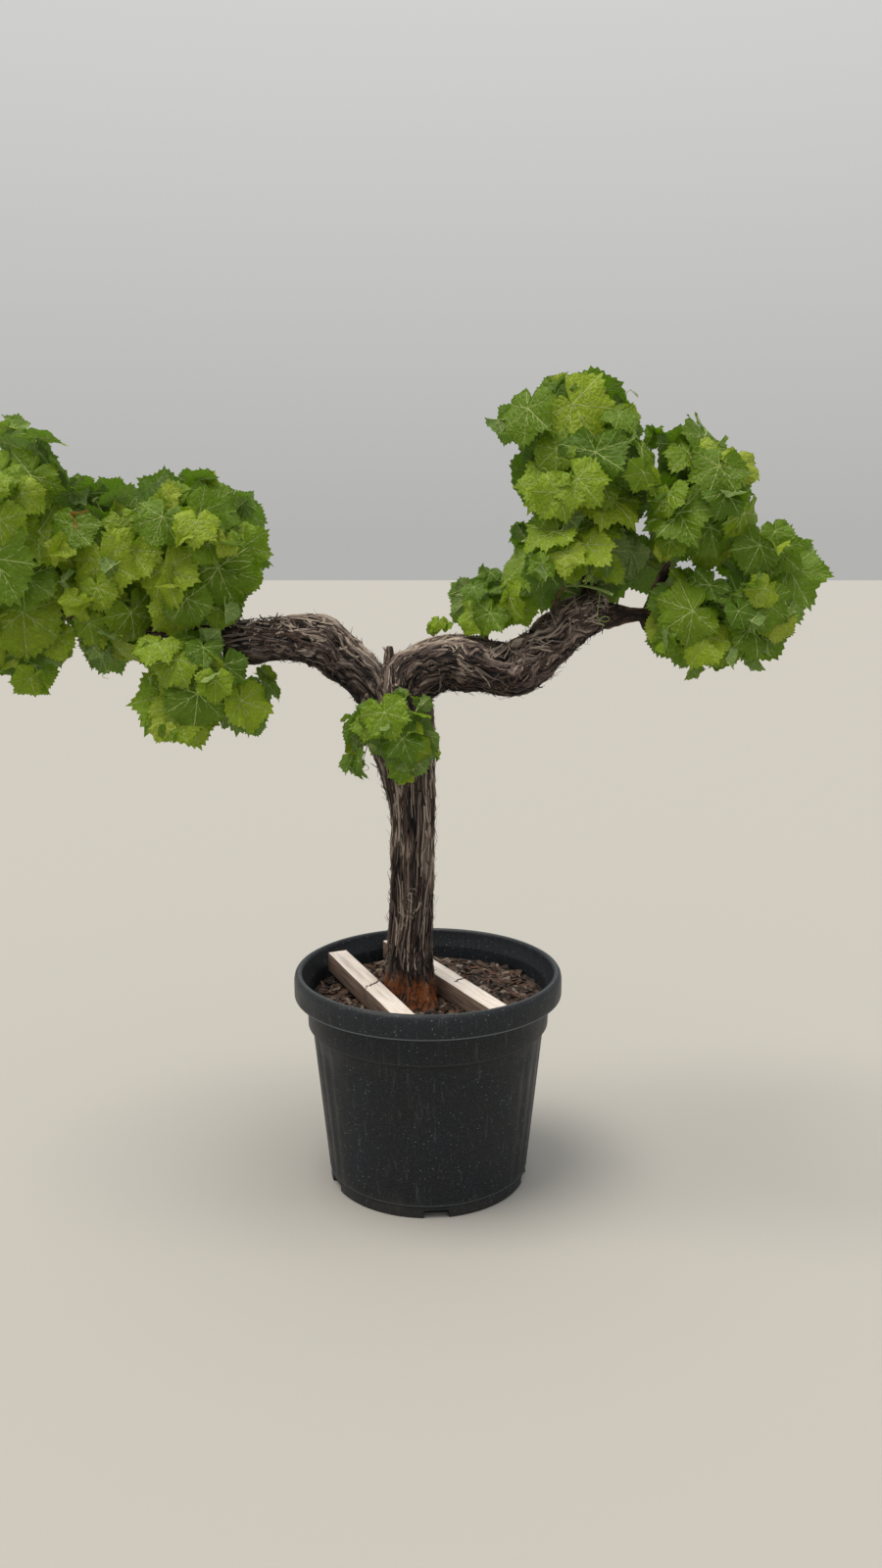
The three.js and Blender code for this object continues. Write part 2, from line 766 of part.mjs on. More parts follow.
// Every crown as one solid: all shoots first, then leaves that keep clear of all that is there.
// A leaf that would still touch another crown is left out, and the limbs are cut clear.
function crownSolids() {
  const shoots = new Map();
  for (const crown of CROWNS) shoots.set(crown, shootsOf(crown, [...shoots.values()].flat()));
  const pieces = piecesOf([...shoots.values()].flat());
  const bark = wasm.Manifold.union(Object.values(LIMBS).map((limb) => tube(limb, CLEAR)));
  const leaves = [];
  const solids = {};
  for (const crown of CROWNS) {
    const others = CROWNS.filter((other) => other !== crown);
    const strange = others.flatMap((other) => shootSolids(shoots.get(other)));
    const taken = wasm.Manifold.union([...strange, ...Object.values(solids)]);
    const parts = shootSolids(shoots.get(crown));
    shoots.get(crown).forEach((shoot, i) => {
      for (const leaf of leavesOf(crown, shoot, i, pieces, leaves)) {
        const grown = bladeSolid(leaf).add(stalkSolid(leaf));
        if (grown.intersect(taken).volume() > 0) continue;
        parts.push(grown);
        leaves.push(leaf);
      }
    });
    solids[crown.name] = largest(wasm.Manifold.union(parts).subtract(bark));
  }
  return solids;
}

const vine = new THREE.Group();

function place(name, solid, kind) {
  const piece = new THREE.Mesh(geometryOf(solid), material(kind));
  piece.name = name;
  vine.add(piece);
}

place("pot", pot(), "pot");
place("soil", soil(), "soil");
for (const bar of BATTENS) place(bar.name, batten(bar), "batten");
for (const [name, solid] of Object.entries(limbSolids())) place(name, solid, "bark");
for (const [name, solid] of Object.entries(crownSolids())) place(name, solid, "leaf");

export default vine;
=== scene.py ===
# %% [markdown]
# # An old grapevine in a nursery pot
# A bare, shaggy trunk stands in a rolled-rim pot and forks into two gnarled arms, which carry masses of
# broad lobed leaves. The solids of the part already give every limb and every mass of leaves its place.
# This lesson loads them as a fixed frame and dresses them: bark with its relief, leaves with their veins,
# bark mulch, two weathered battens and a moulded pot. Everything is worked out in millimetres and turned
# into metres when a mesh is made.

# %% Load the frame
import math
import bmesh
import bpy
import numpy as np
from mathutils import Matrix, Vector, noise


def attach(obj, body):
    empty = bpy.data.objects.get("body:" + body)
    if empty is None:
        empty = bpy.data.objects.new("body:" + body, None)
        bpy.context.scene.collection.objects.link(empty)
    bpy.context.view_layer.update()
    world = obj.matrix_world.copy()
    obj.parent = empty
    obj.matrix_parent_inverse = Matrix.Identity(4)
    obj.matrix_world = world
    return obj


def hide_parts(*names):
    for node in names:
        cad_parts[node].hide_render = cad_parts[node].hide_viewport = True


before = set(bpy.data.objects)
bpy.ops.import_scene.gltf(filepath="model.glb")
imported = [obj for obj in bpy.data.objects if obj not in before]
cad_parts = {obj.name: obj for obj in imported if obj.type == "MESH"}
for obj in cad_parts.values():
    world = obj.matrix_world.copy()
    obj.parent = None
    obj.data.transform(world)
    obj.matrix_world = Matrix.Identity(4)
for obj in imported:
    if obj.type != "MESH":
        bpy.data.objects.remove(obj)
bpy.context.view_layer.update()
MM = 0.001
MERGE_DISTANCE = 1e-6

# %% [markdown]
# ## Helpers for finishes
# A finish is a Principled shader with a few pattern nodes in front of it. Colours are easiest to read as
# sRGB hex values, but Blender's sockets take linear light, so one function turns them. A second one starts
# a material with its fixed numbers on the shader's own sockets, and a third adds any node with its
# settings, values and links in one line. The rest are short names for what nearly every finish needs: a
# place, a noise, one value added to another, a value cut off between two limits, and a colour laid over
# the one below, which makes stains, dust and scuffs alike.

# %% Colours, materials and nodes
def linear(code):
    """An sRGB hex colour as linear red, green, blue and alpha."""
    parts = [int(code[i:i + 2], 16) / 255 for i in (1, 3, 5)]
    return [p / 12.92 if p <= 0.04045 else ((p + 0.055) / 1.055) ** 2.4 for p in parts] + [1.0]


def finish_of(name, colour, roughness, **sockets):
    """A material whose shader has its colour, roughness and any other socket set to a plain value."""
    made = bpy.data.materials.new(name)
    made.use_nodes = True
    shader = made.node_tree.nodes["Principled BSDF"]
    shader.inputs["Base Color"].default_value = linear(colour)
    shader.inputs["Roughness"].default_value = roughness
    for socket, value in sockets.items():
        shader.inputs[socket.replace("_", " ")].default_value = value
    return made


def add_node(made, kind, values=None, links=None, **settings):
    """Adds a node to a material, sets its properties and socket values and links its inputs."""
    node = made.node_tree.nodes.new("ShaderNode" + kind)
    for name, value in settings.items():
        setattr(node, name, value)
    for socket, value in (values or {}).items():
        node.inputs[socket].default_value = value
    for socket, source in (links or {}).items():
        made.node_tree.links.new(source, node.inputs[socket])
    return node


def place_on(made):
    return add_node(made, "TexCoord").outputs["Object"]


def kept_on(made, name, output="Fac"):
    """A value or a vector that was kept on the mesh's points."""
    return add_node(made, "Attribute", attribute_name=name).outputs[output]


def noise_at(made, place, scale, detail, roughness=0.5):
    values = {"Scale": scale, "Detail": detail, "Roughness": roughness}
    return add_node(made, "TexNoise", values, {"Vector": place}).outputs["Fac"]


def added_to(made, base, source, weight):
    """A source with its weight added to a base."""
    return add_node(made, "Math", {1: weight}, {0: source, 2: base}, operation="MULTIPLY_ADD").outputs[0]


def share_between(made, source, low, high, least=0.0, most=1.0):
    """Runs from least to most while a source runs from low to high."""
    limits = {"From Min": low, "From Max": high, "To Min": least, "To Max": most}
    return add_node(made, "MapRange", limits, {"Value": source}).outputs[0]


def layer_over(made, colour, source, low, high, code, most=1.0, within=None):
    """Lays a hex colour over another where a source runs from low to high, and only within a second one."""
    share = share_between(made, source, low, high, most=most)
    if within:
        share = add_node(made, "Math", links={0: share, 1: within}, operation="MULTIPLY").outputs[0]
    return add_node(made, "Mix", {7: linear(code)}, {6: colour, 0: share}, data_type="RGBA").outputs[2]


def feed(made, socket, source):
    """Links a node's output to a socket of the material's shader."""
    made.node_tree.links.new(source, made.node_tree.nodes["Principled BSDF"].inputs[socket])


def ramp_of(made, source, stops):
    """A colour ramp from a list of places and hex colours."""
    ramp = add_node(made, "ValToRGB", links={"Fac": source})
    while len(ramp.color_ramp.elements) < len(stops):
        ramp.color_ramp.elements.new(0.5)
    for element, (place, code) in zip(ramp.color_ramp.elements, stops):
        element.position = place
        element.color = linear(code)
    return ramp.outputs["Color"]


def relief_of(made, source, distance, strength=1.0):
    """Bumps the surface by a pattern, with its height in metres."""
    bump = add_node(made, "Bump", {"Distance": distance, "Strength": strength}, {"Height": source})
    feed(made, "Normal", bump.outputs["Normal"])


def plain_finishes(rows, roughness, scale, detail, distance, strength):
    """Finishes of one plain colour each, which share the same fine roughness of surface."""
    made = [finish_of(name, code, roughness) for name, code in rows]
    for finish in made:
        relief_of(finish, noise_at(finish, place_on(finish), scale, detail), distance, strength)
    return made


# %% [markdown]
# ## Helpers for meshes
# Single pieces are made with bmesh operators. Leaves, twigs, fibres and chips come by the hundred, so
# their shapes are worked out as arrays of points and triangles, joined, and handed to Blender in one go.
# A finished piece sits at the origin with its place in its mesh, rides on the pot's body and is given the
# names of the solids that it stands for, which it hides.

# %% From bmesh or arrays to a piece
def in_scene(name, data):
    thing = bpy.data.objects.new(name, data)
    bpy.context.scene.collection.objects.link(thing)
    return thing


def piece_of(name, mesh, materials, stands_for=()):
    """Puts a mesh in the scene as a piece of the object."""
    piece = in_scene(name, mesh)
    for made in materials:
        mesh.materials.append(made)
    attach(piece, "root")
    if stands_for:
        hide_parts(*stands_for)
    print(f"{name}: {sum(len(face.vertices) - 2 for face in mesh.polygons)} triangles")
    return piece


def mesh_from_bmesh(name, bm, smooth=True):
    mesh = bpy.data.meshes.new(name)
    bm.to_mesh(mesh)
    bm.free()
    mesh.polygons.foreach_set("use_smooth", [smooth] * len(mesh.polygons))
    return mesh


def outward(points, triangles):
    """Triangles of one closed shape, turned over if they point inwards."""
    a, b, c = (points[triangles[:, i]] - points.mean(0) for i in range(3))
    return triangles if np.einsum("ij,ij->", a, np.cross(b, c)) > 0 else triangles[:, ::-1]


def mesh_from_heap(name, heap, smooth=True, sharp=None):
    """One mesh from a heap of shapes, each with points in mm, triangles and a material index per triangle."""
    starts = np.cumsum([0] + [len(points) for points, _, _ in heap])
    points = np.concatenate([shape[0] for shape in heap]) * MM
    corners = np.concatenate([shape[1] + start for shape, start in zip(heap, starts)])
    tints = np.concatenate([np.broadcast_to(shape[2], len(shape[1])) for shape in heap])
    mesh = bpy.data.meshes.new(name)
    mesh.vertices.add(len(points))
    mesh.vertices.foreach_set("co", points.astype(np.float32).ravel())
    mesh.loops.add(corners.size)
    mesh.loops.foreach_set("vertex_index", corners.astype(np.int32).ravel())
    mesh.polygons.add(len(corners))
    mesh.polygons.foreach_set("loop_start", np.arange(0, corners.size, 3, dtype=np.int32))
    mesh.polygons.foreach_set("material_index", tints.astype(np.int32))
    mesh.polygons.foreach_set("use_smooth", np.full(len(corners), smooth))
    mesh.update(calc_edges=True)
    mesh.validate()
    if sharp:
        mesh.set_sharp_from_angle(angle=math.radians(sharp))
    return mesh


def spun(outline, steps):
    """A shell of revolution: a chain of radii and heights in mm, spun in one full turn."""
    bm = bmesh.new()
    chain = [bm.verts.new((r * MM, 0, z * MM)) for r, z in outline]
    edges = [bm.edges.new(pair) for pair in zip(chain, chain[1:])]
    bmesh.ops.spin(bm, geom=chain + edges, cent=(0, 0, 0), axis=(0, 0, 1), angle=2 * math.pi, steps=steps,
                   use_merge=True, use_duplicate=False)
    bmesh.ops.remove_doubles(bm, verts=bm.verts, dist=MERGE_DISTANCE)
    return bm


def unit(vector):
    return vector / np.linalg.norm(vector)


def swept(path, section, scale, up=None):
    """A closed tube: a flat outline, one size factor per station, carried along a path without twist.
    Where up is given, the outline's second axis is held to it."""
    path = np.asarray(path, float)
    along = np.gradient(path, axis=0)
    along /= np.linalg.norm(along, axis=1)[:, None]
    across = up[0] if up is not None else np.cross(along[0], [0.31, 0.52, 0.79])
    rings = []
    for i, way in enumerate(along):
        across = up[i] if up is not None else across
        across = unit(across - way * (across @ way))
        side = np.cross(across, way)
        rings.append(path[i] + scale[i] * (section[:, :1] * side + section[:, 1:] * across))
    count, round_ = len(path), len(section)
    points = np.concatenate(rings + [path[:1], path[-1:]])
    this = np.arange(round_)
    after = (this + 1) % round_
    faces = []
    for i in range(count - 1):
        a, b = i * round_, (i + 1) * round_
        faces += [np.stack([a + this, a + after, b + after], 1), np.stack([a + this, b + after, b + this], 1)]
    end = (count - 1) * round_
    faces += [np.stack([after, this, np.full(round_, count * round_)], 1)]
    faces += [np.stack([end + this, end + after, np.full(round_, count * round_ + 1)], 1)]
    return points, outward(points, np.concatenate(faces))


def round_section(sides):
    turn = np.arange(sides) * 2 * math.pi / sides
    return np.stack([np.cos(turn), np.sin(turn)], 1)


# %% [markdown]
# ## The limbs' lines
# The trunk, the arms and the canes are drawn by smooth lines through a few points, each with a thickness
# that swells and tapers. The same values as in the solids are written here again, and the same smooth
# line goes through them, so the bark lands where the solids are. Along each line a pair of cross
# directions is carried without twist, and every point of the bark is found from them.

# %% Values of the limbs
SOIL_LEVEL = 415
RIGHT_ARM = dict(
    path=[(-88, -30, 1146), (-30, -30, 1163), (20, -28, 1168), (75, -26, 1169), (130, -27, 1161),
          (184, -30, 1154), (226, -32, 1181), (257, -35, 1210), (286, -36, 1236), (312, -36, 1258),
          (348, -36, 1273)],
    radii=[42, 47, 52, 57, 55, 58, 55, 50, 49, 46, 38], knobs=0.06, seed=8)
LIMBS = dict(
    trunk=dict(
        path=[(-38, -30, SOIL_LEVEL - 10), (-39, -30, 452), (-40, -30, 512), (-35, -31, 691), (-34, -32, 847),
              (-45, -32, 950), (-62, -31, 1050), (-72, -30, 1115), (-76, -30, 1152)],
        radii=[60, 52, 48, 47.5, 49.5, 59, 73, 68, 44], rings=13, knobs=0.05, seed=3),
    left_arm=dict(
        path=[(-66, -30, 1086), (-128, -31, 1136), (-180, -34, 1183), (-228, -36, 1216), (-290, -34, 1220),
              (-358, -38, 1217), (-426, -42, 1216)],
        radii=[50, 45, 45, 49, 46, 46, 40], rings=14, knobs=0.06, seed=5),
    right_arm_inner=dict(RIGHT_ARM, rings=12, span=(0, 0.5)),
    right_arm_outer=dict(RIGHT_ARM, rings=10, span=(0.5, 1)),
)
# Canes, stubs and spurs: a name, points, thicknesses, rings in the solids, how knobbly it is and its seed.
LIMB_ROWS = [
    ("right_cane", [(340, -36, 1266), (376, -36, 1269), (405, -34, 1270), (440, -32, 1271), (500, -30, 1274),
                    (560, -28, 1282), (606, -26, 1296)], [30, 26, 20, 15, 13, 11, 9], 10, 0.08, 21),
    ("fork_stub", [(-80, -34, 1140), (-81, -35, 1172), (-78, -36, 1205)], [15, 11, 6], 4, 0.12, 34),
    ("cane_stub", [(452, -34, 1266), (456, -36, 1249), (462, -37, 1237)], [9, 8, 7], 2, 0.1, 36),
    ("left_cane", [(-412, -40, 1220), (-468, -38, 1232), (-545, -32, 1236), (-640, -28, 1242),
                   (-730, -26, 1262), (-782, -26, 1290)], [22, 18, 15, 13, 11, 9], 9, 0.08, 55),
    ("left_spur_middle", [(-600, -30, 1238), (-618, -18, 1262), (-634, -10, 1286)], [10, 9, 8], 2, 0.08, 56),
    ("left_spur_inner", [(-404, -38, 1236), (-416, -40, 1270), (-430, -42, 1298)], [15, 12, 9], 2, 0.08, 57),
    ("left_spur_lower", [(-392, -52, 1198), (-402, -72, 1168), (-414, -84, 1146)], [14, 11, 9], 2, 0.08, 58),
    ("right_spur_low", [(118, -16, 1196), (120, -4, 1222), (124, 2, 1240)], [12, 10, 8], 2, 0.08, 59),
    ("right_spur_middle", [(268, -24, 1240), (268, -12, 1272), (274, -4, 1298)], [14, 11, 9], 2, 0.08, 60),
    ("right_spur_tall", [(334, -26, 1290), (340, -2, 1338), (332, 10, 1392), (320, 8, 1440)],
     [17, 14, 11, 9], 4, 0.08, 61),
    ("right_spur_upper", [(462, -30, 1276), (478, -24, 1320), (500, -20, 1362), (522, -20, 1400)],
     [11, 10, 9, 8], 4, 0.08, 62),
    ("right_spur_lower", [(520, -30, 1273), (534, -42, 1260), (550, -50, 1252)], [9, 8, 8], 2, 0.08, 63),
]
for name, path, radii, rings, knobs, seed in LIMB_ROWS:
    LIMBS[name] = dict(path=path, radii=radii, rings=rings, knobs=knobs, seed=seed)


# %% Smooth lines and their cross directions
def on_line(points, share):
    """A point on the smooth line through some points, from 0 at its start to 1 at its end."""
    points = np.asarray(points, float)
    last = len(points) - 1
    i = min(int(last * share), last - 1)
    w = last * share - i
    p1, p2 = points[i], points[i + 1]
    p0 = points[i - 1] if i > 0 else 2 * p1 - p2
    p3 = points[i + 2] if i + 2 <= last else 2 * p2 - p1
    d0, d1, d2 = (math.sqrt(np.linalg.norm(b - a)) for a, b in ((p0, p1), (p1, p2), (p2, p3)))
    t1 = ((p1 - p0) / d0 - (p2 - p0) / (d0 + d1) + (p2 - p1) / d1) * d1
    t2 = ((p2 - p1) / d1 - (p3 - p1) / (d1 + d2) + (p3 - p2) / d2) * d1
    return p1 + t1 * w + (3 * (p2 - p1) - 2 * t1 - t2) * w**2 + (2 * (p1 - p2) + t1 + t2) * w**3


def on_taper(radii, share):
    """The thickness on the smooth taper through some thicknesses."""
    last = len(radii) - 1
    i = min(int(last * share), last - 1) if share < 1 else last
    w = last * share - i
    p0, p1, p2, p3 = (radii[min(max(k, 0), last)] for k in (i - 1, i, i + 1, i + 2))
    v0, v1 = (p2 - p0) / 2, (p3 - p1) / 2
    return p1 + v0 * w + (3 * (p2 - p1) - 2 * v0 - v1) * w**2 + (2 * (p1 - p2) + v0 + v1) * w**3


def way_at(line, share, step=1e-4):
    """The direction of a line at a share of its length."""
    return unit(line(min(share + step, 1)) - line(max(share - step, 0)))


def turned(vector, axis, angle):
    """A vector turned about an axis."""
    flat = axis * (axis @ vector)
    return flat + (vector - flat) * math.cos(angle) + np.cross(axis, vector) * math.sin(angle)


def square_to(way, angle):
    """A direction square to a way, turned round it by an angle."""
    rough = np.array([1.0, 0, 0]) if abs(way[2]) > 0.9 else np.array([0, 0, 1.0])
    return turned(unit(np.cross(rough, way)), way, angle)


def stations_of(limb, rings):
    """Centres, radii, shares and cross directions at even steps along a limb."""
    low, high = limb.get("span", (0, 1))
    shares = low + (high - low) * np.arange(rings + 1) / rings
    along = np.array([way_at(lambda s: on_line(limb["path"], s), share) for share in shares])
    across = [square_to(along[0], 0)]
    for way in along[1:]:
        across.append(unit(across[-1] - way * (across[-1] @ way)))
    centre = np.array([on_line(limb["path"], share) for share in shares])
    run = np.concatenate([[0], np.cumsum(np.linalg.norm(np.diff(centre, axis=0), axis=1))])
    return dict(share=shares, centre=centre, along=along, across=np.array(across),
                side=np.cross(across, along), run=run,
                radius=np.array([on_taper(limb["radii"], share) for share in shares]))


coarse = [stations_of(limb, limb["rings"]) for limb in LIMBS.values()]
BARK_FROM = np.concatenate([st["centre"][:-1] for st in coarse])
BARK_TO = np.concatenate([st["centre"][1:] for st in coarse])
BARK_RADIUS = np.concatenate([np.maximum(st["radius"][:-1], st["radius"][1:]) for st in coarse])
print("limbs:", len(LIMBS), "pieces of bark line:", len(BARK_RADIUS))

# %% [markdown]
# ## The rule that the crowns grow by
# A vine's crown is a bough's tip that goes on as a green stem, shoots that fan out of it, and leaves on
# long stalks, one at each node on alternate sides. The solids were grown by a seeded rule, and the same
# rule is written here again with the same seeds, so leaves and solids share their places. A leaf's place
# is tried again until it stays in its crown's space, keeps clear of the bark and crosses no other leaf.

# %% Values of the crowns
FULL_LEAF = 128
CROWN_ROWS = [
    ("foliage_right_tall", "right_spur_tall", (304, -30, 1592), (172, 172, 196), 6, 0.35, 132),
    ("foliage_right_middle", "right_spur_middle", (330, -48, 1366), (210, 176, 134), 6, 0.2, 130),
    ("foliage_right_upper", "right_spur_upper", (560, -30, 1516), (120, 168, 160), 5, 0.3, 130),
    ("foliage_right_outer", "right_cane", (716, -30, 1342), (114, 160, 168), 5, 0.15, 128),
    ("foliage_right_lower", "right_spur_lower", (586, -36, 1262), (146, 160, 104), 6, -0.1, 124),
    ("foliage_right_spur", "right_spur_low", (132, 4, 1290), (100, 112, 80), 3, 0.2, 94),
    ("foliage_left_outer", "left_cane", (-858, -30, 1404), (146, 176, 306), 8, 0.25, 136),
    ("foliage_left_middle", "left_spur_middle", (-664, -20, 1352), (124, 166, 222), 6, 0.2, 132),
    ("foliage_left_inner", "left_spur_inner", (-494, -34, 1400), (178, 196, 182), 7, 0.25, 136),
    ("foliage_left_lower", "left_spur_lower", (-458, -70, 1130), (164, 156, 142), 6, -0.3, 130),
    ("foliage_trunk_tuft", "trunk", (-84, -152, 1031), (114, 74, 102), 4, 0.1, 88, (-68, -99, 1052)),
    ("foliage_bud", "right_arm_inner", (14, 8, 1245), (50, 50, 44), 1, 0.4, 44, (13, -6, 1208)),
]
BLADE_REACH = [0.66, 0.57, 0.53, 0.46, 0.1]
DROOP, HEART, ROUND, SKIN, TWIN = 0.24, 0.16, 0.62, 3, 0.36
STEM_LENGTH, STEM_TIP, STEM_SPREAD, STEM_SHARE = 0.85, 7.5, 0.72, 0.8
SHOOT_INSET, SHOOT_TRIES, SHOOT_APART, SHOOT_PIECES, SHOOT_SPOTS = 0.42, 14, 14, 12, 8
SHOOT_THICK, SHOOT_THIN, STALK_STARTS, STALK_STOPS = 5, 4, 0.15, 0.93
STALK_SHORT, STALK_LONG, NODE_STEP, FIRST_NODE, LEAF_TRIES, STALK_LEAF = 44, 96, 46, 34, 24, 120
FACING = np.array([0.6, 0.9, 0.5])
GOLDEN_TURN = math.pi * (3 - math.sqrt(5))
SPACE_POWER, SPACE_EDGE, BARK_MARGIN, ANY_TURN = 3, 0.95, 7, 6.3
# Left, right, lower and upper limits in mm of the stretches of arm that the photograph shows bare.
BARE_WOOD = [((228, 300), (1190, 1312)), ((295, 425), (1190, 1334)), ((-350, -270), (1150, 1290))]

crowns = []
for number, (name, bough, middle, half, shoots, rise, leaf, *start) in enumerate(CROWN_ROWS):
    crowns.append(dict(name=name, bough=bough, middle=np.array(middle, float), half=np.array(half, float),
                       shoots=shoots, rise=rise, leaf=leaf, start=start, fine=leaf / FULL_LEAF,
                       seed=(number + 1) * 1000))


# %% Seeded numbers and tests of place
def dice(seed):
    """Seeded numbers from 0 to 1, the same on every run."""
    state = seed * 2654435761 % 2**32

    def roll():
        nonlocal state
        state = (state + 0x6D2B79F5) % 2**32
        mixed = (state ^ state >> 15) * (state | 1) % 2**32
        mixed = (mixed + (mixed ^ mixed >> 7) * (mixed | 61)) % 2**32 ^ mixed
        return (mixed ^ mixed >> 14) / 2**32

    return roll


def wild(roll):
    """A vector by chance, each part from -0.5 to 0.5."""
    return np.array([roll() - 0.5, roll() - 0.5, roll() - 0.5])


def clear_of_bark(spots, margin):
    """Whether every spot keeps a margin from all limbs."""
    line = BARK_TO - BARK_FROM
    gap = spots[:, None] - BARK_FROM
    share = np.clip(np.einsum("pmi,mi->pm", gap, line) / np.einsum("mi,mi->m", line, line), 0, 1)
    off = np.linalg.norm(gap - share[..., None] * line, axis=2)
    return bool((off > BARK_RADIUS + margin).all())


def depth_in(crown, spots):
    """How far out in its crown's space each spot lies: 1 is the edge."""
    out = np.abs(spots - crown["middle"]) / crown["half"]
    return (out**SPACE_POWER).sum(-1) ** (1 / SPACE_POWER)


def hides_wood(spots):
    """Whether any spot hangs in front of a stretch of arm that the photograph shows bare."""
    x, y, z = spots.T
    return any(((x > left) & (x < right) & (z > low) & (z < high) & (y < 0)).any()
               for (left, right), (low, high) in BARE_WOOD)


def strikes(start, end, triangles):
    """Whether any straight piece passes through any triangle."""
    if not len(start) or not len(triangles):
        return False
    length = np.linalg.norm(end - start, axis=1)
    way = (end - start) / length[:, None]
    a, edge1, edge2 = triangles[:, 0], triangles[:, 1] - triangles[:, 0], triangles[:, 2] - triangles[:, 0]
    normal = np.cross(edge1, edge2)
    slope = way @ normal.T
    sign, size = np.sign(slope), np.abs(slope)
    gap = start[:, None] - a
    u = sign * np.einsum("si,sti->st", way, np.cross(gap, edge2))
    v = sign * np.einsum("si,sti->st", way, np.cross(edge1, gap))
    t = -sign * np.einsum("sti,ti->st", gap, normal)
    hit = (size > 0) & (u >= 0) & (v >= 0) & (u + v <= size) & (t >= 0) & (t < size * length[:, None])
    return bool(hit.any())


# %% Shoots
def arc(shoot, share):
    """A point on a shoot, which is a curve with one bend."""
    a, b, c = shoot["bend"]
    return a * (1 - share) ** 2 + 2 * b * share * (1 - share) + c * share**2


def points_on(shoot, count):
    return np.array([arc(shoot, i / count) for i in range(count + 1)])


def shoot_from(start, bend, end, thick, thin):
    return dict(bend=(start, bend, end), thick=thick, thin=thin)


def stem_of(crown):
    """A crown's stem, from its bough's tip nearly to the middle of its space."""
    limb = stations_of(LIMBS[crown["bough"]], LIMBS[crown["bough"]]["rings"])
    start, along, radius = limb["centre"][-1], limb["along"][-1], limb["radius"][-1] * STEM_SHARE
    tip = STEM_TIP * crown["fine"]
    if crown["start"]:
        start = np.array(crown["start"][0], float)
        along, radius = unit(crown["middle"] - start), tip
    hub = start + (crown["middle"] - start) * STEM_LENGTH
    bend = start + along * 0.5 * np.linalg.norm(hub - start)
    return shoot_from(start, bend, hub, max(radius, tip), tip)


def shoot_try(crown, stem, index, wander, roll):
    """A shoot that leaves the stem and arches to its own place near the edge of the crown's space."""
    order = (index + 0.5) / crown["shoots"]
    height = 1 - 2 * order + (roll() - 0.5) * 0.25
    turn = index * GOLDEN_TURN + crown["seed"] + (roll() - 0.5) * wander
    level = math.sqrt(max(0, 1 - height * height))
    way = np.array([level * math.cos(turn), level * math.sin(turn), height])
    end = way * (crown["half"] - SHOOT_INSET * crown["leaf"]) + crown["middle"]
    root = arc(stem, 1 - STEM_SPREAD * order)
    knee = (root + end) / 2
    knee[2] += crown["rise"] * np.linalg.norm(end - root) * 0.5
    return shoot_from(root, knee, end, SHOOT_THICK * crown["fine"], SHOOT_THIN * crown["fine"])


def shoot_fits(crown, shoot, others):
    """Whether a shoot's outer part keeps in its crown's space and off the bark, and all of it off others."""
    spots = points_on(shoot, SHOOT_SPOTS)
    if not clear_of_bark(spots[3:], BARK_MARGIN) or (depth_in(crown, spots[3:]) >= SPACE_EDGE).any():
        return False
    gaps = (spots[:, None] - points_on(other, SHOOT_SPOTS) for other in others)
    return all(np.linalg.norm(gap, axis=2).min() >= SHOOT_APART for gap in gaps)


def shoots_of(crown, others):
    grown = [stem_of(crown)]
    for i in range(crown["shoots"]):
        roll = dice(crown["seed"] + i)
        for tries in range(SHOOT_TRIES):
            shoot = shoot_try(crown, grown[0], i, 0.5 + 0.15 * tries, roll)
            if shoot_fits(crown, shoot, others):
                grown.append(shoot)
                break
    return grown


# %% Leaves
def rim_of(leaf):
    """The blade's rim in a few points, as the solids have it."""
    right = np.cross(leaf["face"], leaf["tip"])
    count = 2 * (len(BLADE_REACH) - 1)
    spots = []
    for i in range(count):
        reach = BLADE_REACH[min(i, count - i)] * leaf["width"]
        turn = 2 * math.pi * i / count
        flat = leaf["tip"] * reach * math.cos(turn) + right * reach * math.sin(turn)
        spots.append(leaf["end"] + flat - leaf["face"] * DROOP * reach * reach / leaf["width"])
    return np.array(spots)


def measured(leaf):
    """Adds what a leaf's place is tested by: its rim, its edges, its stalk and a skin either side."""
    rim = rim_of(leaf)
    after = np.roll(rim, -1, 0)
    top = np.broadcast_to(leaf["end"], rim.shape)
    fan = np.stack([top, rim, after], 1)
    lift, stalk = leaf["face"] * SKIN, leaf["end"] - leaf["node"]
    leaf.update(rim=rim, heart=leaf["end"] + leaf["tip"] * HEART * leaf["width"],
                edges=(np.concatenate([top, rim]), np.concatenate([rim, after])),
                skins=np.concatenate([fan + lift, fan - lift]),
                stalk=(leaf["node"] + stalk * STALK_STARTS, leaf["node"] + stalk * STALK_STOPS))
    return leaf


def crossed(leaf, others):
    """Whether a leaf crosses, or lies like a twin on, any other leaf."""
    touching, stalked, reached = [], [], []
    for other in others:
        apart = np.linalg.norm(leaf["heart"] - other["heart"])
        if apart < TWIN * (leaf["width"] + other["width"]) / 2:
            return True
        if apart < ROUND * (leaf["width"] + other["width"]):
            touching.append(other)
        if np.linalg.norm(leaf["node"] - other["heart"]) < STALK_LONG + other["width"]:
            stalked.append(other)
        if np.linalg.norm(other["node"] - leaf["heart"]) < STALK_LONG + leaf["width"]:
            reached.append(other)
    if touching:
        edges = [np.concatenate([other["edges"][k] for other in touching]) for k in (0, 1)]
        if strikes(*leaf["edges"], np.concatenate([other["skins"] for other in touching])):
            return True
        if strikes(*edges, leaf["skins"]):
            return True
    if stalked:
        start, end = (spot[None] for spot in leaf["stalk"])
        if strikes(start, end, np.concatenate([other["skins"] for other in stalked])):
            return True
    ends = [np.array([other["stalk"][k] for other in reached]) for k in (0, 1)]
    return strikes(*ends, leaf["skins"])


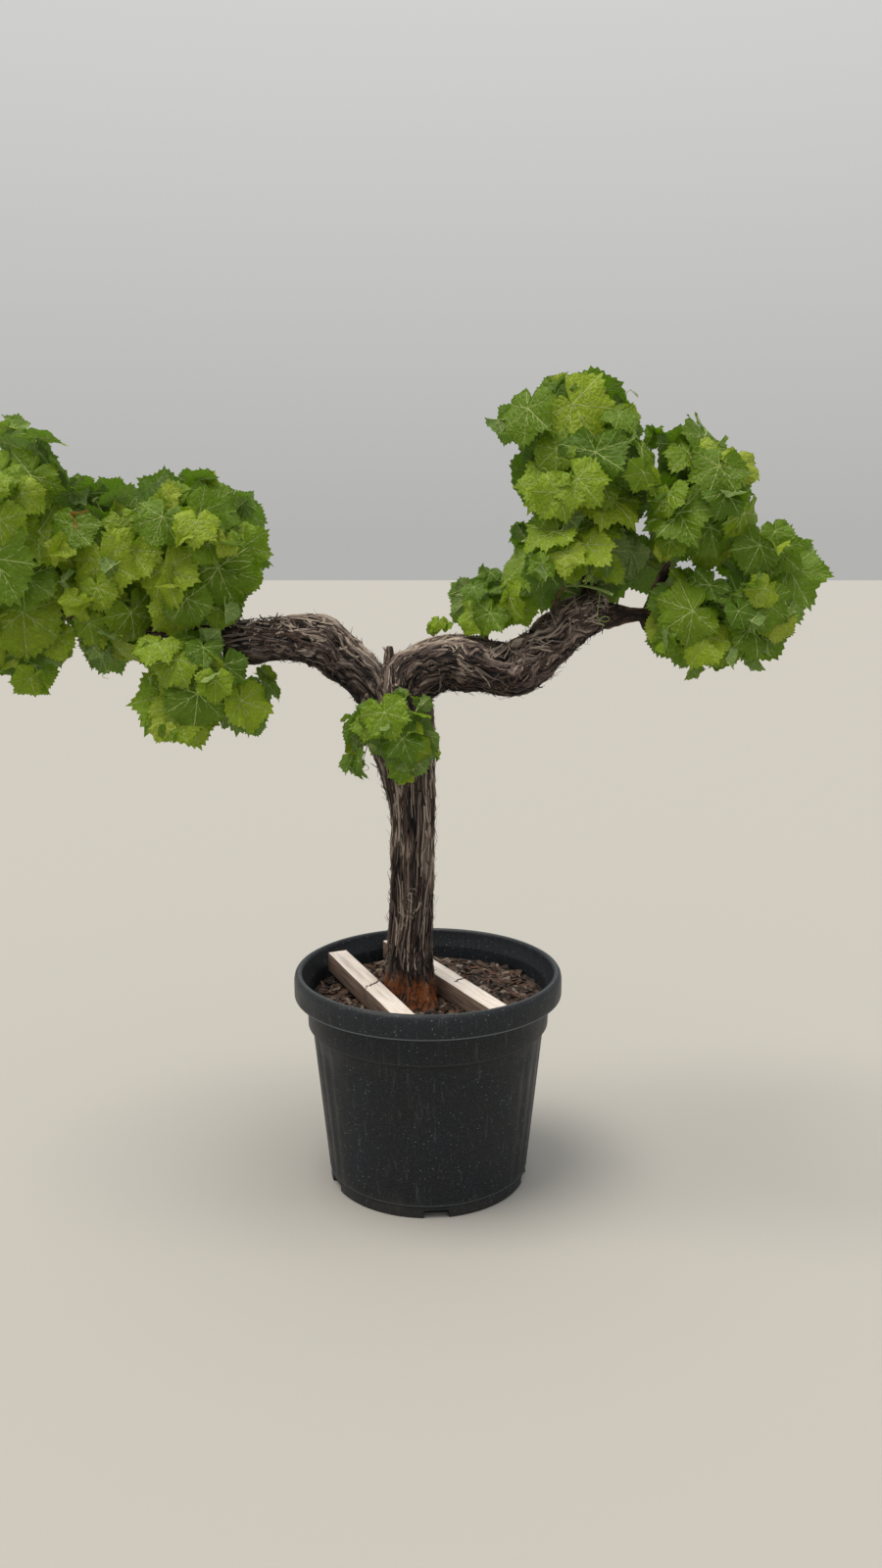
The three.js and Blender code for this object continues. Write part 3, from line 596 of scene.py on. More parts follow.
def leaf_try(crown, shoot, share, slot, roll):
    """A leaf whose stalk leaves the shoot to one side and whose blade faces out and up."""
    node = arc(shoot, share)
    along = way_at(lambda s: arc(shoot, s), share)
    out = (node - crown["middle"]) / crown["half"]
    young = share * share
    width = crown["leaf"] * (1.08 - 0.5 * young) * (0.88 + 0.24 * roll())
    long = (STALK_SHORT + (STALK_LONG - STALK_SHORT) * roll()) * (1 - 0.4 * young)

    aside = square_to(along, slot * math.pi + 2 * (roll() - 0.5))
    way = unit(aside + out * 0.9 + along * 0.5 + wild(roll)) + [0, 0, 0.2]
    end = node + unit(way) * long * width / STALK_LEAF
    face = (end - crown["middle"]) / crown["half"] * FACING
    face += [0, 0.5 * np.sign(face[1]), 0.35]
    face = unit(face + wild(roll) * 0.9)
    hang = wild(roll) * 1.1 + unit(way) * 0.45 - [0, 0, 0.9]
    tip = unit(hang - face * (hang @ face))
    return measured(dict(node=node, end=end, face=face, tip=tip, width=width, young=young))


def leaf_fits(crown, leaf, lines, leaves):
    if (depth_in(crown, leaf["rim"]) > 1).any():
        return False
    stalk = [leaf["node"] + (leaf["end"] - leaf["node"]) * share for share in (0.4, 0.7, 1)]
    if not clear_of_bark(np.array([*leaf["rim"], leaf["heart"], *stalk]), BARK_MARGIN):
        return False
    near = np.linalg.norm(lines[0] - leaf["heart"], axis=1) < 2 * leaf["width"]
    for ends in lines:
        near &= np.linalg.norm(ends - leaf["node"], axis=1) > FIRST_NODE
    return not strikes(lines[0][near], lines[1][near], leaf["skins"]) and not crossed(leaf, leaves)


def length_of(shoot):
    return np.linalg.norm(np.diff(points_on(shoot, 200), axis=0), axis=1).sum()


def leaves_of(crown, shoot, index, lines, leaves, size=1, first=FIRST_NODE, step=NODE_STEP, seed=100,
              later=False):
    """The leaves of one shoot: one at each node on alternate sides and a young one at its tip. The later,
    smaller ones also keep clear of the bare wood."""
    small = dict(crown, leaf=crown["leaf"] * size)
    length = length_of(shoot)
    grown = []
    for slot in range(max(1 if later else 2, int((length - first) / step) + 1)):
        share = min(0.98, (first + slot * step) / length)
        roll = dice(crown["seed"] + seed + index * 40 + slot)
        for _ in range(LEAF_TRIES):
            leaf = leaf_try(small, shoot, share, slot + later, roll)
            if leaf_fits(crown, leaf, lines, leaves + grown) and not (later and hides_wood(leaf["rim"])):
                grown.append(dict(leaf, crown=crown["name"], spray=index))
                break
    return grown


def lines_of(shoots):
    """Straight pieces along the shoots' middles, as their starts and their ends."""
    points = [points_on(shoot, SHOOT_PIECES) for shoot in shoots]
    return np.concatenate([p[:-1] for p in points]), np.concatenate([p[1:] for p in points])


for crown in crowns:
    crown["grown"] = shoots_of(crown, [shoot for other in crowns for shoot in other.get("grown", [])])
lines = lines_of([shoot for crown in crowns for shoot in crown["grown"]])
leaves = []
for crown in crowns:
    for index, shoot in enumerate(crown["grown"]):
        leaves += leaves_of(crown, shoot, index, lines, leaves)
print("shoots:", sum(len(crown["grown"]) for crown in crowns), "leaves as in the solids:", len(leaves))

# %% [markdown]
# ## Finer twigs and smaller leaves
# The solids stop at full-grown leaves on the main shoots. A real vine goes on from there: short side
# shoots with smaller leaves, leaves that fill the gaps between the first ones, and a few fine curled
# tendrils. They grow by the same rule, from the same shoots and within the same spaces, and are tried
# after the first leaves, so none of those moves.

# %% Grow side shoots and fill the gaps
SIDE_SHARES = (0.42, 0.72)
SIDE_LENGTH, SIDE_THICK, SIDE_THIN, SIDE_TRIES, SIDE_APART = (62, 108), 2.6, 1.8, 6, 12
SIDE_EDGE, SIDE_MARGIN = 0.93, 5
# What they grow on, their size, how far along the first stands, the step to the next, and the seeds' start.
SMALLER_LEAVES = [("grown", 0.84, 20, NODE_STEP, 2000), ("side", 0.62, 16, 30, 4000),
                  ("grown", 0.56, 30, NODE_STEP * 0.8, 6000)]


def side_shoot(crown, shoot, share, number, roll):
    """A short twig that leaves a shoot to one side and bends up a little."""
    node, along = arc(shoot, share), way_at(lambda s: arc(shoot, s), share)
    out = (node - crown["middle"]) / crown["half"]
    stray = wild(roll)
    aside = square_to(along, number * math.pi + 1.2 + roll())
    way = unit(aside + out * 0.8 + along * 0.6 + stray * 0.8)
    short, long = SIDE_LENGTH
    end = node + way * (short + (long - short) * roll()) * crown["fine"]
    knee = (node + end) / 2 + [0, 0, 8]
    return shoot_from(node, knee, end, SIDE_THICK * crown["fine"], SIDE_THIN * crown["fine"])


def side_shoots_of(crown, taken):
    """Two twigs on every shoot of a crown where they fit; each goes on to the list of places taken."""
    grown = []
    for index, shoot in enumerate(crown["grown"][1:], 1):
        for number, share in enumerate(SIDE_SHARES):
            roll = dice(crown["seed"] + 500 + index * 10 + number)
            for _ in range(SIDE_TRIES):
                twig = side_shoot(crown, shoot, share, number, roll)
                spots = points_on(twig, 6)[2:]
                gaps = min(np.linalg.norm(spots[:, None] - p, axis=2).min() for p in taken)
                inside = (depth_in(crown, spots) < SIDE_EDGE).all() and not hides_wood(spots)
                if gaps > SIDE_APART and inside and clear_of_bark(spots, SIDE_MARGIN):
                    grown.append(twig)
                    taken.append(points_on(twig, 6))
                    break
    return grown


leaves = [leaf for leaf in leaves if not hides_wood(leaf["rim"])]
print("leaves clear of the bare wood:", len(leaves))
taken = [points_on(shoot, 8) for crown in crowns for shoot in crown["grown"]]
for crown in crowns:
    crown["side"] = side_shoots_of(crown, taken) if crown["shoots"] > 1 else []
lines = lines_of([shoot for crown in crowns for shoot in crown["grown"] + crown["side"]])
for crown in crowns:
    for twigs, size, first, step, seed in SMALLER_LEAVES:
        for index, twig in enumerate(crown[twigs]):
            leaves += leaves_of(crown, twig, index, lines, leaves, size, first, step, seed, later=True)
print("side shoots:", sum(len(crown["side"]) for crown in crowns), "leaves in all:", len(leaves))

# %% [markdown]
# ## The leaf
# A vine leaf is a round blade with shallow lobes and a toothed rim. Its stalk meets it at a narrow notch,
# and the main veins fan out from there, one into each lobe. The blade is laid out once, flat and one unit
# wide, as rings of points about the stalk that end in the teeth. The rings are closed to an upper and a
# lower sheet that meet at the rim. Each leaf then bends that plan its own way: it droops, folds a little
# along its midrib, sinks along its veins and ruffles at its rim.

# %% The blade's plan
TOOTH = 10.4
OUTLINE = [(0, 0.6), (31, 0.58), (52, 0.575), (78, 0.555), (104, 0.54), (125, 0.515), (146, 0.47),
           (156, 0.42), (165, 0.34), (173, 0.21), (180, 0.1)]
LOBES = [(0, 0.1), (14, 0.05), (28, -0.13), (42, 0), (52, 0.09), (63, 0.02), (77, -0.12), (92, 0),
         (104, 0.08), (118, 0), (130, -0.06), (143, 0.02), (156, 0), (180, 0)]
RING_SHARES = (0.3, 0.62, 0.86)
MAIN_VEINS = (0, 52, -52, 104, -104)
BLADE_THICKNESS = 0.9


def reach_at(angle):
    """How far the blade reaches from its stalk at an angle in degrees from its tip."""
    return np.interp(np.abs(angle), *np.array(OUTLINE).T)


def ring_angles(step, extra):
    half = [*np.arange(step, 156.5, step), *extra]
    return np.array([-a for a in reversed(half)] + [0] + half + [180], float)


def rim_plan():
    """The toothed rim: its angles and its reach. Each lobe's own tooth is the longest."""
    angles = ring_angles(TOOTH / 2, [162, 168, 174])
    place = np.abs(angles) / TOOTH
    tooth = np.where(np.isclose(place % 1, 0), 0.024, -0.026) * (np.abs(angles) < 158)
    lobe = np.isin(np.round(np.abs(angles)), MAIN_VEINS) * 0.03
    return angles, reach_at(angles) + tooth + lobe


def stitched(outer, inner):
    """Triangles between two rings, each given as its first index and its angles."""
    (o, outer_angles), (i, inner_angles) = outer, inner
    faces, a, b = [], 0, 0
    while a < len(outer_angles) or b < len(inner_angles):
        next_a = outer_angles[a + 1] if a + 1 < len(outer_angles) else outer_angles[0] + 360
        next_b = inner_angles[b + 1] if b + 1 < len(inner_angles) else inner_angles[0] + 360
        this_a, this_b = o + a % len(outer_angles), i + b % len(inner_angles)
        if b >= len(inner_angles) or (a < len(outer_angles) and next_a <= next_b):
            faces.append((this_a, o + (a + 1) % len(outer_angles), this_b))
            a += 1
        else:
            faces.append((this_a, i + (b + 1) % len(inner_angles), this_b))
            b += 1
    return faces


rim_angles, rim_reach = rim_plan()
rings = [(rim_angles, rim_reach, 1.0)]
for share, step, extra in zip(RING_SHARES[::-1], (TOOTH, TOOTH, 26), ([168], [168], [])):
    angles = ring_angles(step, extra)
    rings.append((angles, reach_at(angles) * share, share))
PLAN_ANGLE = np.concatenate([np.radians(ring[0]) for ring in rings] + [[0.0]])
PLAN_OUT = np.concatenate([np.full(len(ring[0]), ring[2]) for ring in rings] + [[0.0]])
plan_reach = np.concatenate([ring[1] for ring in rings] + [[0.0]])
PLAN = np.stack([plan_reach * np.cos(PLAN_ANGLE), plan_reach * np.sin(PLAN_ANGLE)], 1)
starts = np.cumsum([0] + [len(ring[0]) for ring in rings])
upper = []
for k in range(len(rings) - 1):
    upper += stitched((starts[k], rings[k][0]), (starts[k + 1], rings[k + 1][0]))
inner_count = len(rings[-1][0])
for k in range(inner_count):
    upper.append((starts[-2] + k, starts[-2] + (k + 1) % inner_count, starts[-1]))
UPPER = np.array(upper)
RIM_COUNT = len(rim_angles)
LOWER = np.where(UPPER < RIM_COUNT, UPPER, UPPER + len(PLAN) - RIM_COUNT)[:, ::-1]
plan_degrees = np.degrees(np.abs(PLAN_ANGLE))
NEAR_VEIN = np.isin(np.round(plan_degrees), MAIN_VEINS) & (PLAN_OUT > 0)
LOBED = np.interp(plan_degrees, *np.array(LOBES).T) * PLAN_OUT**2
print("points of a blade:", 2 * len(PLAN) - RIM_COUNT, "triangles:", 2 * len(UPPER))


# %% [markdown]
# ### Veins
# Vine leaves show pale veins on both sides, raised below and sunk above. Each one is a slim tube with
# four sides that runs in the blade and stands out of both sheets. Its stations are found on the flat plan
# once, as shares of the three corners round them, so they follow whatever bend a leaf is given.

# %% The veins' plan
def plan_spot(out, angle):
    reach = reach_at(angle) * out
    return reach * math.cos(math.radians(angle)), reach * math.sin(math.radians(angle))


def corner_shares(spot):
    """A place on the plan as shares of the three corners round it."""
    a, b, c = (PLAN[UPPER[:, k]] for k in range(3))
    area = (b - a)[:, 0] * (c - a)[:, 1] - (b - a)[:, 1] * (c - a)[:, 0]
    to = np.array(spot) - a
    v = (to[:, 0] * (c - a)[:, 1] - to[:, 1] * (c - a)[:, 0]) / area
    w = ((b - a)[:, 0] * to[:, 1] - (b - a)[:, 1] * to[:, 0]) / area
    shares = np.stack([1 - v - w, v, w], 1)
    best = shares.min(1).argmax()
    row = np.zeros(len(PLAN))
    row[UPPER[best]] = shares[best]
    return row


def vein_rows():
    """Every vein as places out from the stalk with their angles, and its half width at both ends in mm."""
    rows = [([(0.0, a), (0.3, a), (0.62, a), (0.86, a), (0.97, a)], 1.9, 0.6, 0) for a in MAIN_VEINS]
    rows += [([(0.0, a), (0.3, a), (0.62, a), (0.84, a)], 1.1, 0.4, 0) for a in (156, -156)]
    for base in MAIN_VEINS:
        for side in (1, -1):
            rows.append(([(0.24, base), (0.55, base + 14 * side), (0.92, base + 24 * side)], 1.0, 0.4, 1))
            rows.append(([(0.5, base), (0.72, base + 8 * side), (0.94, base + 13 * side)], 0.8, 0.35, 1))
            rows.append(([(0.7, base), (0.84, base + 4 * side), (0.95, base + 6 * side)], 0.65, 0.3, 1))
    return rows


def vein_plan(fine):
    """Station shares, half widths and triangles of all veins, or of the main ones alone."""
    shares, widths, outs, faces = [], [], [], []
    for places, root, tip, order in vein_rows():
        if order and not fine:
            continue
        count, first = len(places), 4 * len(shares)
        shares += [corner_shares(plan_spot(*place)) for place in places]
        widths += list(np.linspace(root, tip, count))
        outs += [place[0] for place in places]
        for k in range(count - 1):
            for s in range(4):
                a, b = first + 4 * k + s, first + 4 * k + (s + 1) % 4
                faces += [(a, b, b + 4), (a, b + 4, a + 4)]
        last = first + 4 * (count - 1)
        faces += [(first, first + 2, first + 1), (first, first + 3, first + 2)]
        faces += [(last, last + 1, last + 2), (last, last + 2, last + 3)]
    counts = [len(places) for places, _, _, order in vein_rows() if fine or not order]
    return dict(shares=np.array(shares), width=np.array(widths), out=np.array(outs), faces=np.array(faces),
                counts=counts)


VEINS = {fine: vein_plan(fine) for fine in (True, False)}
print("vein triangles on a large leaf:", len(VEINS[True]["faces"]))


# %% A leaf as points and triangles
SMALL_LEAF = 72


def bent_blade(leaf, roll):
    """The plan cut to one leaf's own lobes and bent to its own shape, as points of its middle sheet."""
    right = np.cross(leaf["face"], leaf["tip"])
    plan = PLAN * (1 + (0.25 + 0.95 * roll()) * LOBED)[:, None]
    plan[:, 1] *= 1 + 0.14 * (roll() - 0.5) * np.sign(plan[:, 1])
    across = np.abs(plan[:, 1])
    fold = leaf.get("fold", -0.12 + 0.55 * roll() ** 1.5)
    rise = fold * across * (1 - across * 0.4) - DROOP * (plan**2).sum(1)
    ruffle = 0.075 * (0.4 + roll()) * PLAN_OUT**3
    rise += ruffle * np.sin((2.5 + 2.5 * roll()) * PLAN_ANGLE + ANY_TURN * roll())
    rise += 0.03 * PLAN_OUT**4 * np.sin(9 * PLAN_ANGLE + ANY_TURN * roll())
    rise += np.where(NEAR_VEIN, -0.016, 0.012) * np.sin(math.pi * np.minimum(PLAN_OUT, 0.95))
    rise -= (0.75 * roll() - 0.15) * np.maximum(plan[:, 0] - 0.2, 0) ** 2
    rise += 0.9 * (roll() - 0.5) * plan[:, 0] * plan[:, 1]
    stretch = 0.96 + 0.1 * roll()
    return leaf["end"] + leaf["width"] * (stretch * plan[:, :1] * leaf["tip"] + plan[:, 1:] * right
                                          + rise[:, None] * leaf["face"])


def blade_shape(leaf, roll, tints):
    """One blade as a heap of two shapes: its two sheets, and its veins."""
    middle = bent_blade(leaf, roll)
    half = 0.5 * BLADE_THICKNESS * (1 - PLAN_OUT**3)[:, None] * leaf["face"]
    points = np.concatenate([middle + half, (middle - half)[RIM_COUNT:]])
    over, under, vein = tints
    sheets = (points, np.concatenate([UPPER, LOWER]),
              np.concatenate([np.full(len(UPPER), over), np.full(len(LOWER), under)]))
    plan = VEINS[leaf["width"] > SMALL_LEAF]
    size = (leaf["width"] / FULL_LEAF) ** 0.7
    spots = plan["shares"] @ middle
    ends = np.cumsum(plan["counts"])
    along = np.concatenate([np.gradient(part, axis=0) for part in np.split(spots, ends[:-1])])
    along /= np.linalg.norm(along, axis=1)[:, None]
    side = np.cross(leaf["face"], along)
    side *= (plan["width"] * size / np.linalg.norm(side, axis=1))[:, None]
    raised = 0.5 * BLADE_THICKNESS * (1 - plan["out"] ** 3) + 0.75 * plan["width"] * size
    up = leaf["face"] * raised[:, None]
    tube = np.stack([spots - side, spots - up, spots + side, spots + up], 1).reshape(-1, 3)
    return [sheets, (tube, plan["faces"], vein)]


def stalk_shape(leaf):
    """The stalk: a slim tube with a swollen foot that arches to the blade."""
    node, end = leaf["node"], leaf["end"] - leaf["face"] * 0.5
    long = np.linalg.norm(end - node)
    shares = np.linspace(0, 1, 6)
    path = node + (end - node) * shares[:, None]
    path[:, 2] += 0.07 * long * np.sin(math.pi * shares)
    size = (leaf["width"] / FULL_LEAF) ** 0.6
    return (*swept(path, round_section(5), np.array([2.3, 1.5, 1.3, 1.2, 1.25, 1.5]) * size), STALK_TINT)


# %% [markdown]
# ## Leaf finishes
# A leaf is a thin, slightly waxy skin over green tissue: it has a soft sheen and lets some light
# through, so each finish mixes a Principled shader with a translucent one. Leaves in the sun are
# yellow-green and shaded ones deeper, undersides are felted and pale, and the youngest leaves are
# yellowest. Such colours belong to a whole leaf, so they are plain and are dealt out by spray and by age.
# The skin bulges between its smallest veins, which make a pale net: its meshes are drawn 12 mm across and
# its lines nearly 1 mm wide, both coarser than on a real leaf, so that they show.

# %% Leaf finishes
def shaded(code, share):
    """A colour code made darker or lighter by a share."""
    parts = [min(255, round(int(code[k:k + 2], 16) * share)) for k in (1, 3, 5)]
    return "#" + "".join(f"{part:02x}" for part in parts)


def leaf_finish(name, colour, roughness=0.44, through=0.46, glow=None):
    """A leaf's or a green stem's skin: its own colour, the share of light it lets through and its glow."""
    made = finish_of(name, colour, roughness, IOR=1.42)
    shader = made.node_tree.nodes["Principled BSDF"]
    place = place_on(made)
    bend = add_node(made, "TexNoise", {"Scale": 90.0, "Detail": 1.0}, {"Vector": place})
    bent = add_node(made, "Mix", {0: 0.008}, {4: place, 5: bend.outputs["Color"]}, data_type="VECTOR")
    net = add_node(made, "TexVoronoi", {"Scale": 85.0}, {"Vector": bent.outputs[1]},
                   feature="DISTANCE_TO_EDGE").outputs["Distance"]
    relief_of(made, added_to(made, net, noise_at(made, place, 260.0, 2.0), 0.3), 0.006, 0.75)
    tones = [(0.03, shaded(colour, 1.13)), (0.09, shaded(colour, 0.95)), (0.4, shaded(colour, 1.05))]
    feed(made, "Base Color", ramp_of(made, net, tones))
    light = add_node(made, "BsdfTranslucent", {"Color": linear(glow or colour)})
    mixed = add_node(made, "MixShader", {0: through}, {1: shader.outputs[0], 2: light.outputs[0]})
    made.node_tree.links.new(mixed.outputs[0], made.node_tree.nodes["Material Output"].inputs["Surface"])
    return made


LEAF_GREENS = ["#466118", "#587516", "#6b8718", "#7e981b", "#90a821", "#a3b82c"]
YOUNG_GREENS = ["#99ab2a", "#a8b63a"]
UNDER_GREENS = ["#83995a", "#91a666", "#778d50"]
LEAF_FINISHES = [leaf_finish(f"vine_leaf_{kind}_{k}", code, *sheen, glow=glow)
                 for kind, codes, sheen, glow in (("green", LEAF_GREENS, (), "#b4d63c"),
                                                  ("young", YOUNG_GREENS, (), "#cfe04a"),
                                                  ("felted_underside", UNDER_GREENS, (0.75, 0.42), "#b4d63c"))
                 for k, code in enumerate(codes)]
LEAF_FINISHES += [leaf_finish("vine_leaf_vein", "#b9ca7c", 0.5, 0.2),
                  leaf_finish("vine_leaf_dry", "#9c8238", 0.8, 0.2)]
FIRST_YOUNG, FIRST_UNDER = len(LEAF_GREENS), len(LEAF_GREENS) + len(YOUNG_GREENS)
VEIN_TINT, DRY_TINT = len(LEAF_FINISHES) - 2, len(LEAF_FINISHES) - 1
DRY_SHARE, YOUNG_SHARE, YOUNG_WIDTH = 0.02, 0.55, 85
LIGHTER_LEFT, LIGHTER_RIGHT = 0.25, 0.07


def tints_of(leaf, roll):
    """A leaf's tints: each spray has its own green, and its young leaves are yellower."""
    spray = dice(hash_of(leaf["crown"]) + 7 * leaf["spray"])()
    if roll() < DRY_SHARE and leaf["width"] < SMALL_LEAF:
        return DRY_TINT, DRY_TINT, DRY_TINT
    if leaf["young"] > 0.8 and leaf["width"] < YOUNG_WIDTH and roll() < YOUNG_SHARE:
        over = FIRST_YOUNG + int(roll() * len(YOUNG_GREENS))
    else:
        light = LIGHTER_LEFT if "left" in leaf["crown"] else LIGHTER_RIGHT
        over = min(FIRST_YOUNG - 1, int((0.3 * spray + 0.6 * roll() + light) * len(LEAF_GREENS)))
    return over, FIRST_UNDER + int(roll() * len(UNDER_GREENS)), VEIN_TINT


def hash_of(name):
    """A small number that a name always gives."""
    return sum(ord(letter) * (place + 3) for place, letter in enumerate(name))


print("leaf finishes:", len(LEAF_FINISHES))

# %% [markdown]
# ## Green shoots, tendrils and flower clusters
# Shoots are round, pale green and a little thicker at each node. Tendrils are finer threads that wind up
# at their ends, and in early summer small clusters of green flower buds hang opposite some of the leaves.

# %% Shoots, tendrils and clusters as shapes
def shoot_shape(shoot, tint, slim=0.72):
    """A tapering tube along a shoot, with low swellings at its nodes."""
    count = 18
    shares = np.linspace(0, 1, count)
    radius = shoot["thick"] + (shoot["thin"] - shoot["thick"]) * shares
    swell = 1 + 0.16 * (np.cos(shares * length_of(shoot) / NODE_STEP * 2 * math.pi) > 0.8)
    return (*swept(points_on(shoot, count - 1), round_section(7), radius * slim * swell), tint)


def tendril_shape(node, way, roll):
    """A thread that leaves its node straight and then winds up."""
    turns, straight, curl = 0.7 + 0.6 * roll(), 48 + 30 * roll(), 9 + 6 * roll()
    side = square_to(way, ANY_TURN * roll())
    up = np.cross(way, side)
    share = np.linspace(0, 1, 34)
    wind = np.maximum(share - CURL_FROM, 0) / (1 - CURL_FROM)
    round_ = wind * turns * 2 * math.pi
    size = curl * (1 - 0.55 * wind)
    path = node + way * (straight * np.minimum(share / CURL_FROM, 1) + 9 * wind)[:, None]
    path = path + side * (size * np.sin(round_))[:, None] + up * (curl - size * np.cos(round_))[:, None]
    path[:, 2] -= 10 * share**2
    return (*swept(path, round_section(4), 1.0 - 0.5 * share), SHOOT_TINT)


BUD = np.array([(1, 0, 0), (-1, 0, 0), (0, 1, 0), (0, -1, 0), (0, 0, 1), (0, 0, -1)], float)
BUD_FACES = np.array([(0, 2, 4), (2, 1, 4), (1, 3, 4), (3, 0, 4), (2, 0, 5), (1, 2, 5), (3, 1, 5), (0, 3, 5)])


def cluster_shapes(node, way, roll):
    """A loose hanging cluster of small round buds on a thin stalk."""
    long = 46 + 26 * roll()
    tip = node + unit(way + [0, 0, -0.9]) * long
    path = node + (tip - node) * np.linspace(0, 1, 6)[:, None]
    heap = [(*swept(path, round_section(4), np.linspace(1.2, 0.6, 6)), STALK_TINT)]
    for _ in range(BUDS_IN_A_CLUSTER):
        share = 0.3 + 0.7 * roll()
        spread = 13 * (1.15 - share)
        off = wild(roll) * 2 * spread
        heap.append((node + (tip - node) * share + off + BUD * (1.5 + roll()), BUD_FACES, BUD_TINT))
    return heap


GREEN_FINISHES = [
    leaf_finish("vine_shoot_green", "#96ab62", 0.5, 0.12),
    leaf_finish("vine_stalk_pale_green", "#a9b873", 0.5, 0.15),
    leaf_finish("vine_cane_half_ripe", "#7d6f45", 0.65, 0.04),
    leaf_finish("vine_flower_bud_green", "#a8bd5a", 0.6, 0.2),
]
SHOOT_TINT, STALK_TINT, CANE_TINT, BUD_TINT = range(4)
# How often a cluster or a tendril grows, and the room and the margin to the bark that either needs.
CLUSTER_SHARE, TENDRIL_SHARE, BUDS_IN_A_CLUSTER, HANGER_ROOM, HANGER_MARGIN = 0.22, 0.38, 46, 70, 10
CURL_FROM = 0.45

# %% Dress every crown
def folded_tip(crown, shoot, roll):
    """A small folded leaf at the very tip of a shoot."""
    way = way_at(lambda s: arc(shoot, s), 1)
    end = arc(shoot, 1) + way * 6 * crown["fine"]
    face = square_to(way, ANY_TURN * roll())
    wide = crown["leaf"] * (0.26 + 0.12 * roll())
    return dict(node=arc(shoot, 1), end=end, face=face, tip=way, width=wide, young=1, fold=1.1,
                crown=crown["name"], spray=0)


def dress(crown):
    """Joins a crown's blades into one piece and its shoots, stalks, tendrils and buds into another."""
    roll = dice(crown["seed"] + 900)
    own = [leaf for leaf in leaves if leaf["crown"] == crown["name"]]
    twigs = crown["grown"] + crown["side"]
    tips = [folded_tip(crown, twig, roll) for twig in twigs[1:]]
    both_ends = np.array([[0], [1]])
    own += [tip for tip in tips if not hides_wood(tip["end"] + tip["tip"] * tip["width"] * both_ends)]
    blades, greens = [], []
    for leaf in own:
        blades += blade_shape(leaf, roll, tints_of(leaf, roll))
        greens.append(stalk_shape(leaf))
    greens += [shoot_shape(twig, CANE_TINT if k == 0 else SHOOT_TINT) for k, twig in enumerate(twigs)]
    for twig in twigs[1:]:
        share = 0.45 + 0.5 * roll()
        node, along = arc(twig, share), way_at(lambda s: arc(twig, s), share)
        aside = square_to(along, ANY_TURN * roll())
        way = unit(aside + along * 0.6 + (node - crown["middle"]) / crown["half"])
        far = node + way * HANGER_ROOM
        if depth_in(crown, far) < 1 and clear_of_bark(far[None], HANGER_MARGIN):
            chance = roll()
            if chance < CLUSTER_SHARE:
                greens += cluster_shapes(node, way, roll)
            elif chance < CLUSTER_SHARE + TENDRIL_SHARE:
                greens.append(tendril_shape(node, way, roll))
    name = crown["name"].removeprefix("foliage_")
    mesh = mesh_from_heap("leaves_" + name, blades, sharp=55)
    piece_of("leaves_" + name, mesh, LEAF_FINISHES, [crown["name"]])
    piece_of("shoots_" + name, mesh_from_heap("shoots_" + name, greens), GREEN_FINISHES)


for crown in crowns:
    dress(crown)

# %% [markdown]
# ## Bark with its relief
# An old vine sheds its bark in long ropey strips. The trunk's fibres are fine and upright, and those of the
# arms are coarser, run along the arm and wander from side to side. A flat grid is made with a bmesh
# operator and wrapped round each limb's line, one ring every few millimetres. Each point is then lifted
# or sunk by a noise that is stretched along the fibres, so that ridges, plates and deep cracks are real
# relief. The height is kept on the mesh as an attribute, and so are the straightened place of the
# fibres and the colours' place, because the finish needs all of them.

# %% The fibres' relief
def ridges(spot, octaves=3):
    """Sharp crests between 0 and 1, from folded noise."""
    total, size, weight = 0.0, 1.0, 0.0
    for _ in range(octaves):
        total += size * (1 - abs(noise.noise(spot)) * 2.2)
        weight += size
        spot = spot * 2.03 + Vector((11.3, 5.1, 7.7))
        size *= 0.55
    return total / weight


def out_of(line, k, turn):
    """The way out of a limb at one of its stations and a turn round it."""
    return line["across"][k] * math.cos(turn) + line["side"][k] * math.sin(turn)


def fibre_sway(look, run, turn):
    """How far the fibres lean round the limb at a place on it."""
    return look["sway"] * noise.noise(Vector((run / look["bend"], math.cos(turn) * 0.9,
                                              math.sin(turn) * 0.9)))


def bark_height(turn, run, girth, look):
    """The bark's height in mm at a turn round a limb and a distance along it."""
    fine = noise.noise(Vector((run / (look["bend"] * 0.3), math.cos(turn) * 2 + 9, math.sin(turn) * 2)))
    sway = fibre_sway(look, run, turn) + 0.35 * look["sway"] * fine
    twisted = turn + look["spiral"] * run + sway
    ring = Vector((math.cos(twisted), math.sin(twisted), 0)) * girth
    rope = Vector((ring.x / look["rope"], ring.y / look["rope"], run / look["length"] / 1.6 + look["seed"]))
    fibre = Vector((ring.x / look["width"], ring.y / look["width"], run / look["length"] + look["seed"]))
    strand = Vector((ring.x / look["width"] * 2.6, ring.y / look["width"] * 2.6, run / look["length"] * 1.4))
    lump = noise.noise(Vector((ring.x / 60, ring.y / 60, run / 90 + look["seed"])))
    plate = noise.noise(Vector((ring.x / 26, ring.y / 26, run / 130 + 3 * look["seed"])))
    crack = max(0.0, 0.34 - abs(noise.noise(rope * 1.15 + Vector((31, 7, 2))))) / 0.34
    fibres = ridges(fibre, 2)
    strands = noise.noise(strand)
    grain = 0.62 * fibres + 0.2 * strands + 0.3 * min(1.0, max(-1.0, plate * 3.5)) - 0.7 * crack**3
    return look["lump"] * lump + look["depth"] * grain + look["ropes"] * ridges(rope, 1), grain, (ring, run)


